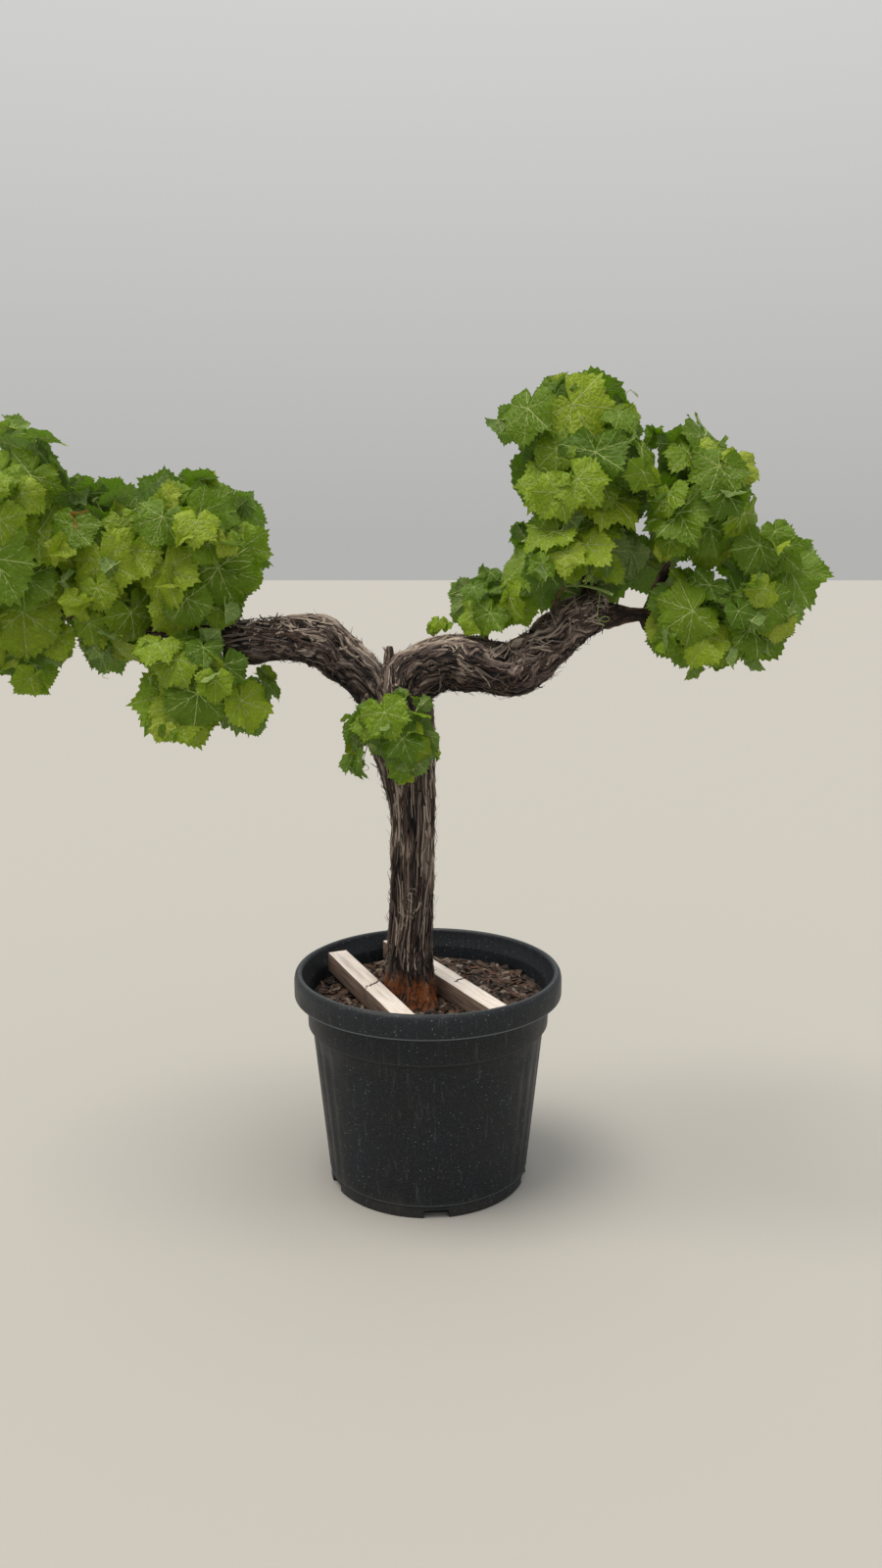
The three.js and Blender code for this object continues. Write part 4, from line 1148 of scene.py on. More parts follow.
TRUNK_LOOK = dict(sway=0.13, bend=110, spiral=0.0009, rope=15, width=4.2, length=75, lump=3.4, depth=6.4,
                  ropes=2.6, seed=3.0)
ARM_LOOK = dict(sway=0.42, bend=70, spiral=0.0018, rope=20, width=5.2, length=44, lump=6.5, depth=7.4,
                ropes=5.5, seed=11.0)
CANE_LOOK = dict(sway=0.3, bend=60, spiral=0.001, rope=12, width=3.6, length=42, lump=1.6, depth=2.2,
                 ropes=1.4, seed=23.0)


def ring_angle(limb, station, k, turn):
    """A limb's bare radius in a direction, with the low knobs that the solids have."""
    share, seed = station["share"][k], limb["seed"]
    wave = math.sin(2 * turn + seed + 11 * share) + 0.8 * math.sin(3 * turn - seed + 7 * share)
    return station["radius"][k] * (1 + limb["knobs"] * wave)


LENGTH_RINGS, BARK_SINK, FIBRE_STRETCH = 60, 0.55, 12


def bark_sleeve(name, limb, look, around, step, flare=None):
    """Wraps a grid round a limb's line, raises its relief, joins its seam and closes its ends."""
    length = stations_of(limb, LENGTH_RINGS)["run"][-1]
    rows = int(length / step)
    line = stations_of(limb, rows)
    bm = bmesh.new()
    bmesh.ops.create_grid(bm, x_segments=around, y_segments=rows, size=0.5)
    relief = bm.verts.layers.float.new("relief")
    grain = bm.verts.layers.float_vector.new("grain")
    upward = bm.verts.layers.float.new("upward")
    for vert in bm.verts:
        turn = (vert.co.x + 0.5) * 2 * math.pi
        k = round((vert.co.y + 0.5) * rows)
        high, fibres, (ring, run) = bark_height(turn, line["run"][k], line["radius"][k], look)
        radius = ring_angle(limb, line, k, turn) - look["depth"] * BARK_SINK + high
        if flare:
            radius += flare(line, k, turn)
        out = out_of(line, k, turn)
        vert.co = Vector((line["centre"][k] + out * radius) * MM)
        vert[relief] = fibres
        vert[upward] = out[2]
        vert[grain] = Vector((ring.x, ring.y, run / FIBRE_STRETCH)) * MM
    bmesh.ops.remove_doubles(bm, verts=bm.verts, dist=MERGE_DISTANCE)
    bmesh.ops.holes_fill(bm, edges=[edge for edge in bm.edges if edge.is_boundary], sides=0)
    caps = [face for face in bm.faces if len(face.verts) > 4]
    bmesh.ops.triangulate(bm, faces=caps)
    bmesh.ops.recalc_face_normals(bm, faces=bm.faces)
    print(name, "rings:", rows, "points:", len(bm.verts))
    return mesh_from_bmesh(name, bm)


# %% [markdown]
# ## Bark finishes
# Weathered vine bark is grey-brown on its ridges, where light and rain have bleached it, and dark in its
# cracks. Here the cracks are painted nearly black, partly their own colour and partly painted shade, and
# ridges that face up are painted paler, partly bleaching and partly painted light from above. It is dry and
# matte. The finish reads the relief that was kept on the mesh for that, and a fine streaky grain in the
# straightened place of the fibres for the rest, drawn about 2 mm wide so that it shows. The foot of the
# trunk is stained: a dark band and, under it, rust-brown fibres.

# %% Bark finishes
# Height in metres where a stain starts and where it is full, its colour and its strength. The heights
# stand about 0.03 too high, because a ragged noise of that size is added to what they are compared with.
STAIN_BANDS = [(0.6, 0.565, "#161312", 0.8), (0.532, 0.5, "#8a4d22", 0.85)]


def bark_finish(name, dark, middle, light, stain=False):
    """Bark from its cracks, nearly black with partly painted shade, to its ridges, paler where it faces up
    with partly painted light, and stained at the foot if asked.
    """
    made = finish_of(name, middle, 0.88, IOR=1.45)
    place = kept_on(made, "grain", "Vector")
    streak = noise_at(made, place, 420.0, 3.0, 0.62)
    shade = add_node(made, "Math", {1: 0.55}, {0: streak}, operation="MULTIPLY").outputs[0]
    mixed = added_to(made, shade, kept_on(made, "relief"), 0.62)
    mixed = added_to(made, mixed, noise_at(made, place, 60.0, 2.0), 0.3)
    # Faces that point up are made paler: partly bleaching, partly painted light from above.
    lightness_with_painted_light = added_to(made, mixed, kept_on(made, "upward"), 0.13)
    # The darkest colour, in the cracks, is partly their own colour and partly painted shade; the palest, on
    # ridges that face up, is partly bleaching and partly painted highlight.
    colour = ramp_of(made, lightness_with_painted_light, [(0.38, dark), (0.55, middle), (0.76, light), (0.96, "#a99b8d")])
    feed(made, "Base Color", stained(made, colour) if stain else colour)
    relief_of(made, streak, 0.0016, 0.8)
    return made


def stained(made, colour):
    """Darkens the trunk just above the soil and turns it rust-brown at the soil."""
    place = place_on(made)
    height = add_node(made, "SeparateXYZ", links={0: place}).outputs["Z"]
    level = added_to(made, height, noise_at(made, place, 35.0, 3.0), 0.06)
    mottle = share_between(made, noise_at(made, place, 150.0, 3.0, 0.7), 0.3, 0.52)
    for low, high, code, most in STAIN_BANDS:
        colour = layer_over(made, colour, level, low, high, code, most, mottle)
    return colour


# Each bark's first colour, nearly black, is partly the cracks' own colour and partly painted shade in them.
TRUNK_BARK = bark_finish("vine_bark_fibrous_weathered_trunk", "#0c0807", "#3f322b", "#7d6d62", stain=True)
ARM_BARK = bark_finish("vine_bark_ropey_arm", "#070505", "#362a26", "#73645c")
LEFT_BARK = bark_finish("vine_bark_ropey_arm_dark", "#060404", "#281f1c", "#635650")
CANE_BARK = bark_finish("vine_bark_cane", "#19110d", "#4d382c", "#7a624f")

# %% Bark of every limb
SPUR_LIMBS = ["right_cane", "cane_stub", "left_cane",
              *(f"left_spur_{place}" for place in ("middle", "inner", "lower")),
              *(f"right_spur_{place}" for place in ("low", "middle", "tall", "upper", "lower"))]


def trunk_flare(line, k, turn):
    """The trunk's foot spreads a little where it meets the soil, and a third of the way up is a knot."""
    return 5 * math.exp(-line["run"][k] / 26) + knot_height(TRUNK_KNOT, line, k, turn)


# The arms' bark starts deep in the trunk's head, so that its fibres seem to rise from it.
LEFT_BEND = dict(LIMBS["left_arm"], path=[(-62, -30, 1004), (-74, -30, 1052), (-94, -30, 1098)]
                 + LIMBS["left_arm"]["path"][1:], radii=[44, 49, 49] + LIMBS["left_arm"]["radii"][1:])
RIGHT_LOOK = dict(ARM_LOOK, seed=17.0, sway=0.46, bend=56)
RIGHT_BEND = dict(RIGHT_ARM, path=[(-50, -30, 996), (-58, -30, 1044), (-56, -30, 1092), (-38, -30, 1134),
                                   (0, -29, 1158)] + RIGHT_ARM["path"][2:]
                  + [(366, -36, 1278), (377, -36, 1278)],
                  radii=[44, 50, 54, 55, 54] + RIGHT_ARM["radii"][2:-4] + [48, 44, 42, 37, 29, 17])


TRUNK_KNOT = dict(at=251, facing=(-0.05, -1, 0), wide=24, high=6, eye=8)
ARM_KNOT = dict(at=570, facing=(0.1, -0.93, 0.36), wide=30, high=7, eye=9)


def knot_height(knot, line, k, turn):
    """The swelling round an old pruning wound: a low mound with a sunk eye and rings between."""
    out = out_of(line, k, turn)
    aside = line["radius"][k] * math.acos(min(1.0, max(-1.0, out @ unit(np.array(knot["facing"])))))
    far = math.hypot(line["run"][k] - knot["at"], aside)
    rings = 0.3 * math.cos(far / 1.5) if far < knot["wide"] else 0.0
    mound, eye = math.exp(-((far / knot["wide"]) ** 2)), math.exp(-((far / knot["eye"]) ** 2))
    return knot["high"] * (mound - 1.6 * eye + rings)


def arm_knot(line, k, turn):
    return knot_height(ARM_KNOT, line, k, turn)


trunk = bark_sleeve("bark_trunk", LIMBS["trunk"], TRUNK_LOOK, around=168, step=4.2, flare=trunk_flare)
piece_of("bark_trunk", trunk, [TRUNK_BARK], ["trunk"])
left_arm = bark_sleeve("bark_left_arm", LEFT_BEND, ARM_LOOK, around=156, step=3.8)
piece_of("bark_left_arm", left_arm, [LEFT_BARK], ["left_arm"])
right_arm = bark_sleeve("bark_right_arm", RIGHT_BEND, RIGHT_LOOK, around=164, step=3.8, flare=arm_knot)
piece_of("bark_right_arm", right_arm, [ARM_BARK], ["right_arm_inner", "right_arm_outer"])
for name in SPUR_LIMBS:
    look = dict(CANE_LOOK, seed=LIMBS[name]["seed"] / 2)
    sleeve = bark_sleeve("bark_" + name, LIMBS[name], look, around=60, step=3.6)
    piece_of("bark_" + name, sleeve, [CANE_BARK], [name])
SPLINTER_WOOD = bark_finish("vine_wood_splintered_pale", "#463730", "#927d70", "#b8a494")
STUB_LOOK = dict(CANE_LOOK, depth=4.6, ropes=2.4)
stub = bark_sleeve("bark_fork_stub", LIMBS["fork_stub"], STUB_LOOK, around=64, step=3.0)
piece_of("bark_fork_stub", stub, [SPLINTER_WOOD], ["fork_stub"])

# %% [markdown]
# ## Loose strips of bark
# Strips peel away from the ridges, lift at their ends and catch the light: they are what makes old vine
# bark look shaggy. Each strip is a thin three-sided sliver that starts on the bark, follows the fibres
# for a while and bows off the surface at one end or both. On an upward face they are short bleached
# flakes, on a flank long grey-brown strands and underneath dark red-brown ones, so their tints are plain
# colours, dealt out by the face they lie on and by chance.
# Their paler tints on upward faces and darker ones underneath are partly weathering and partly painted light
# from above and painted shade beneath.

# %% Strips as shapes
# How far a strip's two ends can stand off beyond 2 mm, and how often they do.
END_LIFTS = ((8, 0.5), (11, 0.6))
STRIP_STATIONS, KNOT_STATIONS = 160, 400
# From how far up a face must point its strips are shorter, and by how much facing up makes them paler and
# facing down darker, partly as weathering and partly as painted light and shade.
UPWARD_FROM, UPWARD_PALER = 0.45, 0.34
STRIP_SECTION = np.array([(-1.0, -0.12), (1.0, -0.12), (0.2, 0.3)])
STRIP_FINISHES = plain_finishes([
    ("bark_strip_bleached", "#998b7e"), ("bark_strip_grey_brown", "#655852"), ("bark_strip_brown", "#473930"),
    ("bark_strip_red_brown", "#38261f"), ("bark_strip_black", "#150f0d"), ("bark_strip_rust", "#854a22"),
], roughness=0.9, scale=900.0, detail=2.0, distance=0.0006, strength=0.6)


def station_at(line, run):
    """The station that a distance along a limb comes to."""
    return min(len(line["run"]) - 1, int(np.searchsorted(line["run"], run)))


def on_bark(limb, line, look, k, angle, above):
    """A place over the bark of a limb, and the way out of it."""
    out = out_of(line, k, angle)
    lifted = ring_angle(limb, line, k, angle) + look["lift"] + above
    if "knot" in look:
        lifted += knot_height(look["knot"], line, k, angle)
    return line["centre"][k] + out * lifted, out


def strip_shape(limb, line, look, start, long, turn, drift, lift, wide, tint):
    """One strip along a limb: it wanders with the fibres, drifts aside and its ends stand off the bark."""
    share = np.linspace(0, 1, max(5, int(long / 14)))
    runs = np.clip(start + long * share, 0, line["run"][-1])
    path, ups = [], []
    for s, run in zip(share, runs):
        k = station_at(line, run)
        angle = turn - look["spiral"] * run - fibre_sway(look, run, turn) + drift * (s - 0.5)
        ends = lift[0] * max(0.0, 1 - s / 0.3) ** 2 + lift[1] * max(0.0, (s - 0.7) / 0.3) ** 2
        spot, out = on_bark(limb, line, look, k, angle, ends)
        path.append(spot)
        ups.append(out)
    slim = wide * (0.25 + 0.75 * np.sin(math.pi * (0.06 + 0.88 * share)) ** 0.6)
    return (*swept(path, STRIP_SECTION, slim, ups), tint)


def strips_on(limb, look, number, seed, lengths, shares=(0, 1), tints=(0.2, 0.5, 0.76, 0.9, 1), drift=0.2,
              wide=(0.9, 2.6), loose=1.0):
    """A heap of strips on one limb: shorter and paler where the bark faces up and darker underneath, the
    tints partly weathering and partly painted light and shade. They have a shortest and a longest length, a
    share of the limb to lie on, and marks of chance where each next tint starts."""
    line = stations_of(limb, STRIP_STATIONS)
    total = line["run"][-1]
    roll = dice(seed)
    heap = []
    for _ in range(number):
        turn = 2 * math.pi * roll()
        at = total * (shares[0] + (shares[1] - shares[0]) * roll())
        k = station_at(line, at)
        upward = on_bark(limb, line, look, k, turn - look["spiral"] * at, 0)[1][2]
        long = (lengths[0] + (lengths[1] - lengths[0]) * roll() ** 2) * (0.5 if upward > UPWARD_FROM else 1)
        long = min(long, total * (shares[1] - shares[0]) - 5)
        start = min(max(at - long / 2, 2 + total * shares[0]), total * shares[1] - long - 2)
        # Paler on upward faces and darker underneath: partly weathering, partly painted light and shade.
        chance = min(1.0, max(0.0, roll() - UPWARD_PALER * upward))
        tint = sum(chance > mark for mark in tints)
        lift = [loose * (2 + most * roll() ** 2) * (roll() < often) for most, often in END_LIFTS]
        heap.append(strip_shape(limb, line, look, start, long, turn, drift * (2 * roll() - 1), lift,
                                wide[0] + wide[1] * roll() ** 2, tint))
    return heap


def knot_strips(limb, look, seed):
    """Short strips laid in rings round the eye of a knot."""
    knot, roll = look["knot"], dice(seed)
    line = stations_of(limb, KNOT_STATIONS)
    facing = unit(np.array(knot["facing"]))
    k = station_at(line, knot["at"])
    middle = math.atan2(facing @ line["side"][k], facing @ line["across"][k])
    heap = []
    for ring in range(4):
        far = knot["eye"] * (0.9 + 0.75 * ring)
        for part in range(4 + 3 * ring):
            begin, sweep = 2 * math.pi * roll(), (0.7 + 0.9 * roll()) / (0.7 + 0.3 * ring)
            path, ups = [], []
            for turn in begin + sweep * np.linspace(0, 1, 6):
                k = station_at(line, knot["at"] + far * (1 + 0.12 * ring) * math.cos(turn))
                spot, out = on_bark(limb, line, look, k, middle + far * math.sin(turn) / line["radius"][k],
                                    0.6 + roll())
                path.append(spot)
                ups.append(out)
            slim = (1.2 + 1.2 * roll()) * np.sin(math.pi * np.linspace(0.12, 0.88, 6))
            heap.append((*swept(path, STRIP_SECTION, slim, ups), int(3.2 * roll())))
    return heap


TRUNK_STRIPS = dict(TRUNK_LOOK, lift=0.4, knot=TRUNK_KNOT)
LEFT_STRIPS = dict(ARM_LOOK, lift=0.6)
RIGHT_STRIPS = dict(RIGHT_LOOK, lift=0.6, knot=ARM_KNOT)
STUB_STRIPS = dict(CANE_LOOK, lift=0.5)
# The marks of chance where the second to the sixth tint start, on each kind of strip.
FOOT_TINTS = (0, 0.06, 0.25, 0.4, 0.62)
DARK_TINTS = (-1, -1, 0.15, 0.55, 1)
CHARRED_TINTS = (0, 0.08, 0.3, 0.5, 1)
SPLINTER_TINTS = (0.55, 0.9, 1, 1, 1)
CLEFT_TINTS = (0.12, 0.4, 0.55, 0.75, 1)
LEFT_TINTS = (0.1, 0.3, 0.54, 0.78, 1)
FLAKE_TINTS = (0.2, 0.4, 0.62, 0.8, 1)
RISING_TINTS = (0.1, 0.34, 0.6, 0.78, 1)
FORK_CLEFT = dict(path=[(-68, -97, 1040), (-72, -96, 1085), (-76, -84, 1126), (-80, -58, 1166)],
                  radii=[10, 13, 13, 8], knobs=0.1, seed=37)
TRUNK = (LIMBS["trunk"], TRUNK_STRIPS)
LEFT = (LEFT_BEND, LEFT_STRIPS)
RIGHT = (RIGHT_BEND, RIGHT_STRIPS)
trunk_heap = (strips_on(*TRUNK, 500, 71, (50, 200), (0.165, 0.92), drift=0.12)
              + strips_on(*TRUNK, 320, 85, (40, 150), (0.15, 0.95), DARK_TINTS, 0.2, (0.7, 1.1))
              + strips_on(*TRUNK, 70, 72, (40, 120), (0.13, 0.2))
              + strips_on(*TRUNK, 120, 80, (20, 60), (0.08, 0.16), CHARRED_TINTS)
              + strips_on(*TRUNK, 120, 73, (18, 50), (0.01, 0.085), FOOT_TINTS)
              + knot_strips(*TRUNK, 74))
left_heap = (strips_on(*LEFT, 600, 75, (26, 130), (0.08, 1), LEFT_TINTS, 0.4, (1.0, 3.0))
             + strips_on(*LEFT, 460, 83, (12, 34), (0.25, 1), FLAKE_TINTS, 0.6, (1.4, 2.6), 0.25))
right_heap = (strips_on(*RIGHT, 860, 77, (24, 120), (0.06, 1), drift=0.6, wide=(0.9, 2.4))
              + knot_strips(*RIGHT, 78)
              + strips_on(*RIGHT, 150, 82, (50, 130), (0.06, 0.3), RISING_TINTS, 0.3)
              + strips_on(*RIGHT, 340, 84, (12, 34), (0.3, 1), FLAKE_TINTS, 0.6, (1.4, 2.4), 0.25)
              + strips_on(FORK_CLEFT, STUB_STRIPS, 60, 81, (40, 120), (0, 1), CLEFT_TINTS, wide=(1.4, 2.4))
              + strips_on(LIMBS["fork_stub"], STUB_STRIPS, 26, 79, (36, 64), (0, 1), SPLINTER_TINTS,
                          wide=(1.6, 2.6)))
for name, heap in (("trunk", trunk_heap), ("left_arm", left_heap), ("right_arm", right_heap)):
    strips = mesh_from_heap("bark_strips_" + name, heap, smooth=False)
    piece_of("bark_strips_" + name, strips, STRIP_FINISHES)

# %% [markdown]
# ## The pot
# The pot is a big round nursery container, blow-moulded in black polyethylene: a tapered wall, a step
# under the rim, a thick rolled rim, and a low foot with notches that let water run away. Its section is
# drawn as a chain of points and spun in one full turn. Two plain panels, front and back, lie between
# sides with fine upright flutes, which are pressed in afterwards, and the notches are cut by boxes.

# %% Spin the pot
POT_SECTION = [
    (0, 0), (216, 0), (221.5, 1), (223, 3.5), (223, 25.5), (222.5, 27), (225.5, 29), (230.5, 80),
    (235.6, 130), (240.6, 180), (245.6, 230), (250.7, 280), (254.7, 320), (258.7, 360), (262, 364),
    (267, 365), (268.2, 367), (269.1, 398), (270, 430), (272, 432.2), (294, 432), (297.2, 434),
    (297.7, 436), (297.9, 454), (297.7, 470), (296, 478.5), (293, 483.4), (288.5, 486), (284.5, 485.6),
    (281, 483.5), (279.2, 479), (278.6, 468), (266, 450), (264.7, 446), (254, 357), (220.5, 27.3),
    (176, 27.3), (172, 6.3), (0, 6.3)]
POT_STEPS = 360
FLUTE = dict(depth=1.8, low=35, high=352, every=math.radians(9.5), panel=math.radians(52), fade=0.05)
NOTCH = dict(count=5, width=53, height=18, first=math.radians(-85), at=222, deep=50, rounded=4)
# A cone that runs inside the wall, by its radius and its height at the foot and by its slope.
CONE = dict(radius=221, foot=29, slope=0.1)


def flute_depth(turn, height):
    """How far the wall is pressed in at a turn round the pot and a height."""
    aside = abs(math.remainder(turn + math.pi / 2, math.pi))
    if aside < FLUTE["panel"] or not FLUTE["low"] < height < FLUTE["high"]:
        return 0.0
    past = aside - FLUTE["panel"]
    wave = 0.5 - 0.5 * math.cos(2 * math.pi * past / FLUTE["every"])
    return FLUTE["depth"] * min(1.0, past / FLUTE["fade"]) * wave


def spun_pot():
    bm = spun(POT_SECTION, POT_STEPS)
    for vert in bm.verts:
        radius, turn = math.hypot(vert.co.x, vert.co.y), math.atan2(vert.co.y, vert.co.x)
        height = vert.co.z / MM
        # Only the wall's outer face lies beyond the cone, so the inner face stays smooth.
        if radius > (CONE["radius"] + (height - CONE["foot"]) * CONE["slope"]) * MM:
            vert.co.xy *= 1 - flute_depth(turn, height) * MM / radius
    bmesh.ops.recalc_face_normals(bm, faces=bm.faces)
    return mesh_from_bmesh("pot", bm)


def notch_boxes():
    bm = bmesh.new()
    for k in range(NOTCH["count"]):
        turn = NOTCH["first"] + 2 * math.pi * k / NOTCH["count"]
        size = [NOTCH["deep"] * MM, NOTCH["width"] * MM, 2 * NOTCH["height"] * MM, 1]
        place = Matrix.Rotation(turn, 4, "Z") @ Matrix.Translation((NOTCH["at"] * MM, 0, 0))
        place = place @ Matrix.Diagonal(size)
        made = bmesh.ops.create_cube(bm, size=1, matrix=place)
        top = [edge for edge in {e for v in made["verts"] for e in v.link_edges}
               if all(v.co.z > 0 for v in edge.verts)]
        bmesh.ops.bevel(bm, geom=top, offset=NOTCH["rounded"] * MM, segments=3, profile=0.5, affect="EDGES",
                        material=-1)
    return mesh_from_bmesh("notches", bm, smooth=False)


def cut_by(piece, tool_mesh):
    """Cuts a mesh out of a piece and leaves the result in the piece's own mesh."""
    tool = in_scene("tool", tool_mesh)
    cut = piece.modifiers.new("cut", "BOOLEAN")
    cut.operation, cut.object, cut.solver = "DIFFERENCE", tool, "EXACT"
    made = bpy.data.meshes.new_from_object(piece.evaluated_get(bpy.context.evaluated_depsgraph_get()))
    piece.modifiers.clear()
    piece.data = made
    bpy.data.objects.remove(tool)


# %% [markdown]
# ### Moulded polyethylene with dust
# Blow-moulded polyethylene is a dull charcoal with a soft, broken gloss and the orange-peel of the mould.
# Outdoors it turns greyer: rain splashes leave dust low on the wall, handling leaves pale upright scuffs,
# and the rim is bleached a little bluish. Small pale specks are dried splashes.
# Thin dark lines under the ledges are painted shadow, and thin light lines along the ledges' edges, the rim's
# lower lip and its crest are painted highlights; the lip's line is also a little edge wear.

# %% Pot finish
# Height in metres of a thin line at a ledge, its half width and its colour: the dark ones are painted shadow
# under a ledge and the light ones painted highlight along its edge.
LEDGE_SHADOW_AND_HIGHLIGHT_LINES = [(0.357, 0.0026, "#030405"), (0.3668, 0.0011, "#2c3236"), (0.0262, 0.0014, "#030405"),
               (0.0296, 0.0012, "#565d60")]


def polyethylene(name):
    """Dull charcoal plastic under layers of wear, each where a pattern or a height runs between limits, with
    thin lines of painted shadow and painted highlight at its ledges and rim.
    """
    made = finish_of(name, "#1b1e21", 0.5, IOR=1.51, Specular_IOR_Level=0.3)
    place = place_on(made)
    height = add_node(made, "SeparateXYZ", links={0: place}).outputs["Z"]
    tall = add_node(made, "Mapping", {"Scale": (1, 1, 0.12)}, {"Vector": place}).outputs[0]
    flat = add_node(made, "Mapping", {"Scale": (1, 1, 0)}, {"Vector": place}).outputs[0]
    out = add_node(made, "VectorMath", links={0: flat}, operation="LENGTH").outputs["Value"]
    cloud = noise_at(made, place, 9.0, 6.0, 0.65)
    peel = noise_at(made, place, 420.0, 2.0, 0.7)
    speck = add_node(made, "TexVoronoi", {"Scale": 100.0, "Randomness": 1.0}, {"Vector": place})
    sparse = share_between(made, cloud, 0.35, 0.6)
    edge = share_between(made, out, 0.2955, 0.2972)
    colour = ramp_of(made, cloud, [(0.3, "#05080e"), (0.55, "#090e16"), (0.75, "#0f1620")])
    # The bleached rim, the orange-peel, the scuffs, the dust low on the wall and the dried splashes.
    for source, low, high, code, most, within in (
            (height, 0.40, 0.47, "#181d21", 0.7, None), (peel, 0.54, 0.7, "#4a5054", 0.55, None),
            (noise_at(made, tall, 90.0, 4.0, 0.7), 0.58, 0.74, "#454b4e", 0.6, None),
            (added_to(made, height, cloud, 0.16), 0.13, 0.06, "#4c4a45", 0.3, None),
            (speck.outputs["Distance"], 0.14, 0.08, "#8d8f8d", 0.8, sparse)):
        colour = layer_over(made, colour, source, low, high, code, most, within)
    # Thin lines of painted shadow under the ledges and of painted highlight along their edges.
    for level, wide, code in LEDGE_SHADOW_AND_HIGHLIGHT_LINES:
        line = add_node(made, "Math", {1: level, 2: wide}, {0: height}, operation="COMPARE").outputs[0]
        colour = layer_over(made, colour, line, 0.0, 1.0, code, 0.7)
    # Painted highlights: a light line along the rim's lower lip, which is also a little worn there, and a
    # line along the rim's crest.
    colour = layer_over(made, colour, height, 0.4375, 0.4335, "#7d868a", 0.75, edge)
    feed(made, "Base Color", layer_over(made, colour, height, 0.4845, 0.4862, "#4c555a", 0.6))
    feed(made, "Roughness", share_between(made, cloud, 0.35, 0.7, 0.4, 0.6))
    relief_of(made, peel, 0.0006, 0.4)
    return made


POT_PLASTIC = polyethylene("polyethylene_black_blow_moulded_dusty")
pot = piece_of("nursery_pot", spun_pot(), [POT_PLASTIC], ["pot"])
cut_by(pot, notch_boxes())
pot.data.set_sharp_from_angle(angle=math.radians(38))

# %% [markdown]
# ## Bark mulch
# The soil is covered with shredded bark: dark flakes a centimetre or more long, lying every way, with a few
# orange and grey ones. Under them is a spun disc whose top is lifted by noise, and on it lie the flakes.
# Each flake is an irregular wedge, the hull of a few points, repeated with its own size, turn and tint.

# %% The bed of mulch
BED_STEPS, BED_RADIUS, BED_RINGS, BED_RIM, BED_SKIRT = 96, 261.5, 58, 424, 420
BED_SINK, WALL_AT, WALL_RISE, HEAP_RISE, HEAP_WIDE, HEAP_AT = 3, 262, 8, 8, 110, (150, -20)
COARSE, COARSE_RISE, FINE, FINE_RISE = 17, 3.4, 7, 2.2


def bed_top(x, y):
    """The mulch's level: a little higher at the wall and heaped on the right."""
    out = math.hypot(x, y) / WALL_AT
    heap = HEAP_RISE * math.exp(-((x - HEAP_AT[0]) ** 2 + (y - HEAP_AT[1]) ** 2) / HEAP_WIDE**2)
    return SOIL_LEVEL - BED_SINK + WALL_RISE * out**3 + heap


def mulch_bed():
    bm = spun([(0, 404), (120, 404), (255, 404), (260, 410)], BED_STEPS)
    bmesh.ops.create_circle(bm, cap_ends=False, segments=BED_STEPS, radius=BED_RADIUS * MM,
                            matrix=Matrix.Translation((0, 0, BED_RIM * MM)))
    rim = [edge for edge in bm.edges if edge.is_boundary or edge.is_wire]
    bmesh.ops.bridge_loops(bm, edges=rim)
    loop = [edge for edge in bm.edges if edge.is_boundary]
    for share in np.linspace(0.975, 0.02, BED_RINGS):
        ring = bmesh.ops.extrude_edge_only(bm, edges=loop)["geom"]
        verts = [item for item in ring if isinstance(item, bmesh.types.BMVert)]
        loop = [item for item in ring if isinstance(item, bmesh.types.BMEdge)]
        for vert in verts:
            vert.co.xy *= share * BED_RADIUS * MM / vert.co.xy.length
    bmesh.ops.holes_fill(bm, edges=loop, sides=0)
    for vert in bm.verts:
        if vert.co.z > BED_SKIRT * MM:
            x, y = vert.co.x / MM, vert.co.y / MM
            coarse = COARSE_RISE * noise.noise(Vector((x / COARSE, y / COARSE, 1)))
            fine = FINE_RISE * noise.noise(Vector((x / FINE, y / FINE, 4)))
            vert.co.z = (bed_top(x, y) + (coarse + fine)) * MM
    bmesh.ops.recalc_face_normals(bm, faces=bm.faces)
    return mesh_from_bmesh("mulch_bed", bm)


def soil_finish(name, dark, middle, light):
    made = finish_of(name, middle, 0.95)
    crumb = noise_at(made, place_on(made), 160.0, 5.0, 0.7)
    feed(made, "Base Color", ramp_of(made, crumb, [(0.3, dark), (0.5, middle), (0.72, light)]))
    relief_of(made, crumb, 0.003, 0.9)
    return made


SOIL = soil_finish("composted_bark_dark", "#0d0907", "#241a15", "#4a3b31")
piece_of("mulch_bed", mulch_bed(), [SOIL], ["soil"])

# %% Flakes on the bed
FLAKE_FINISHES = plain_finishes([
    ("bark_flake_dark", "#30241c"), ("bark_flake_brown", "#513f34"), ("bark_flake_reddish", "#5f4031"),
    ("bark_flake_grey", "#7d6f62"), ("bark_flake_black", "#191310"), ("bark_flake_orange", "#b0714f"),
], roughness=0.85, scale=500.0, detail=3.0, distance=0.0012, strength=0.7)
FLAKE_MARKS = (0.26, 0.62, 0.69, 0.86, 0.998)
FLAKE_SHAPES, FLAKE_SHAPES_SEED = 14, 91
FLAKE_COUNT, ORANGE_COUNT, FLAKE_SPREAD, FLAKE_REACH, SHORT_FLAKE, LONG_FLAKE = 2600, 14, 250, 261, 15, 51
FLAKE_POINTS, FLAKE_TILT, FLAKE_LIFT, FLAKE_PILE = 10, 0.8, 1.5, 2.5
# The orange flakes' patch: how far out it starts and how deep it is, its first angle and its width.
PATCH_NEAR, PATCH_DEEP, PATCH_FIRST, PATCH_WIDE = 70, 50, 0.35, 0.8


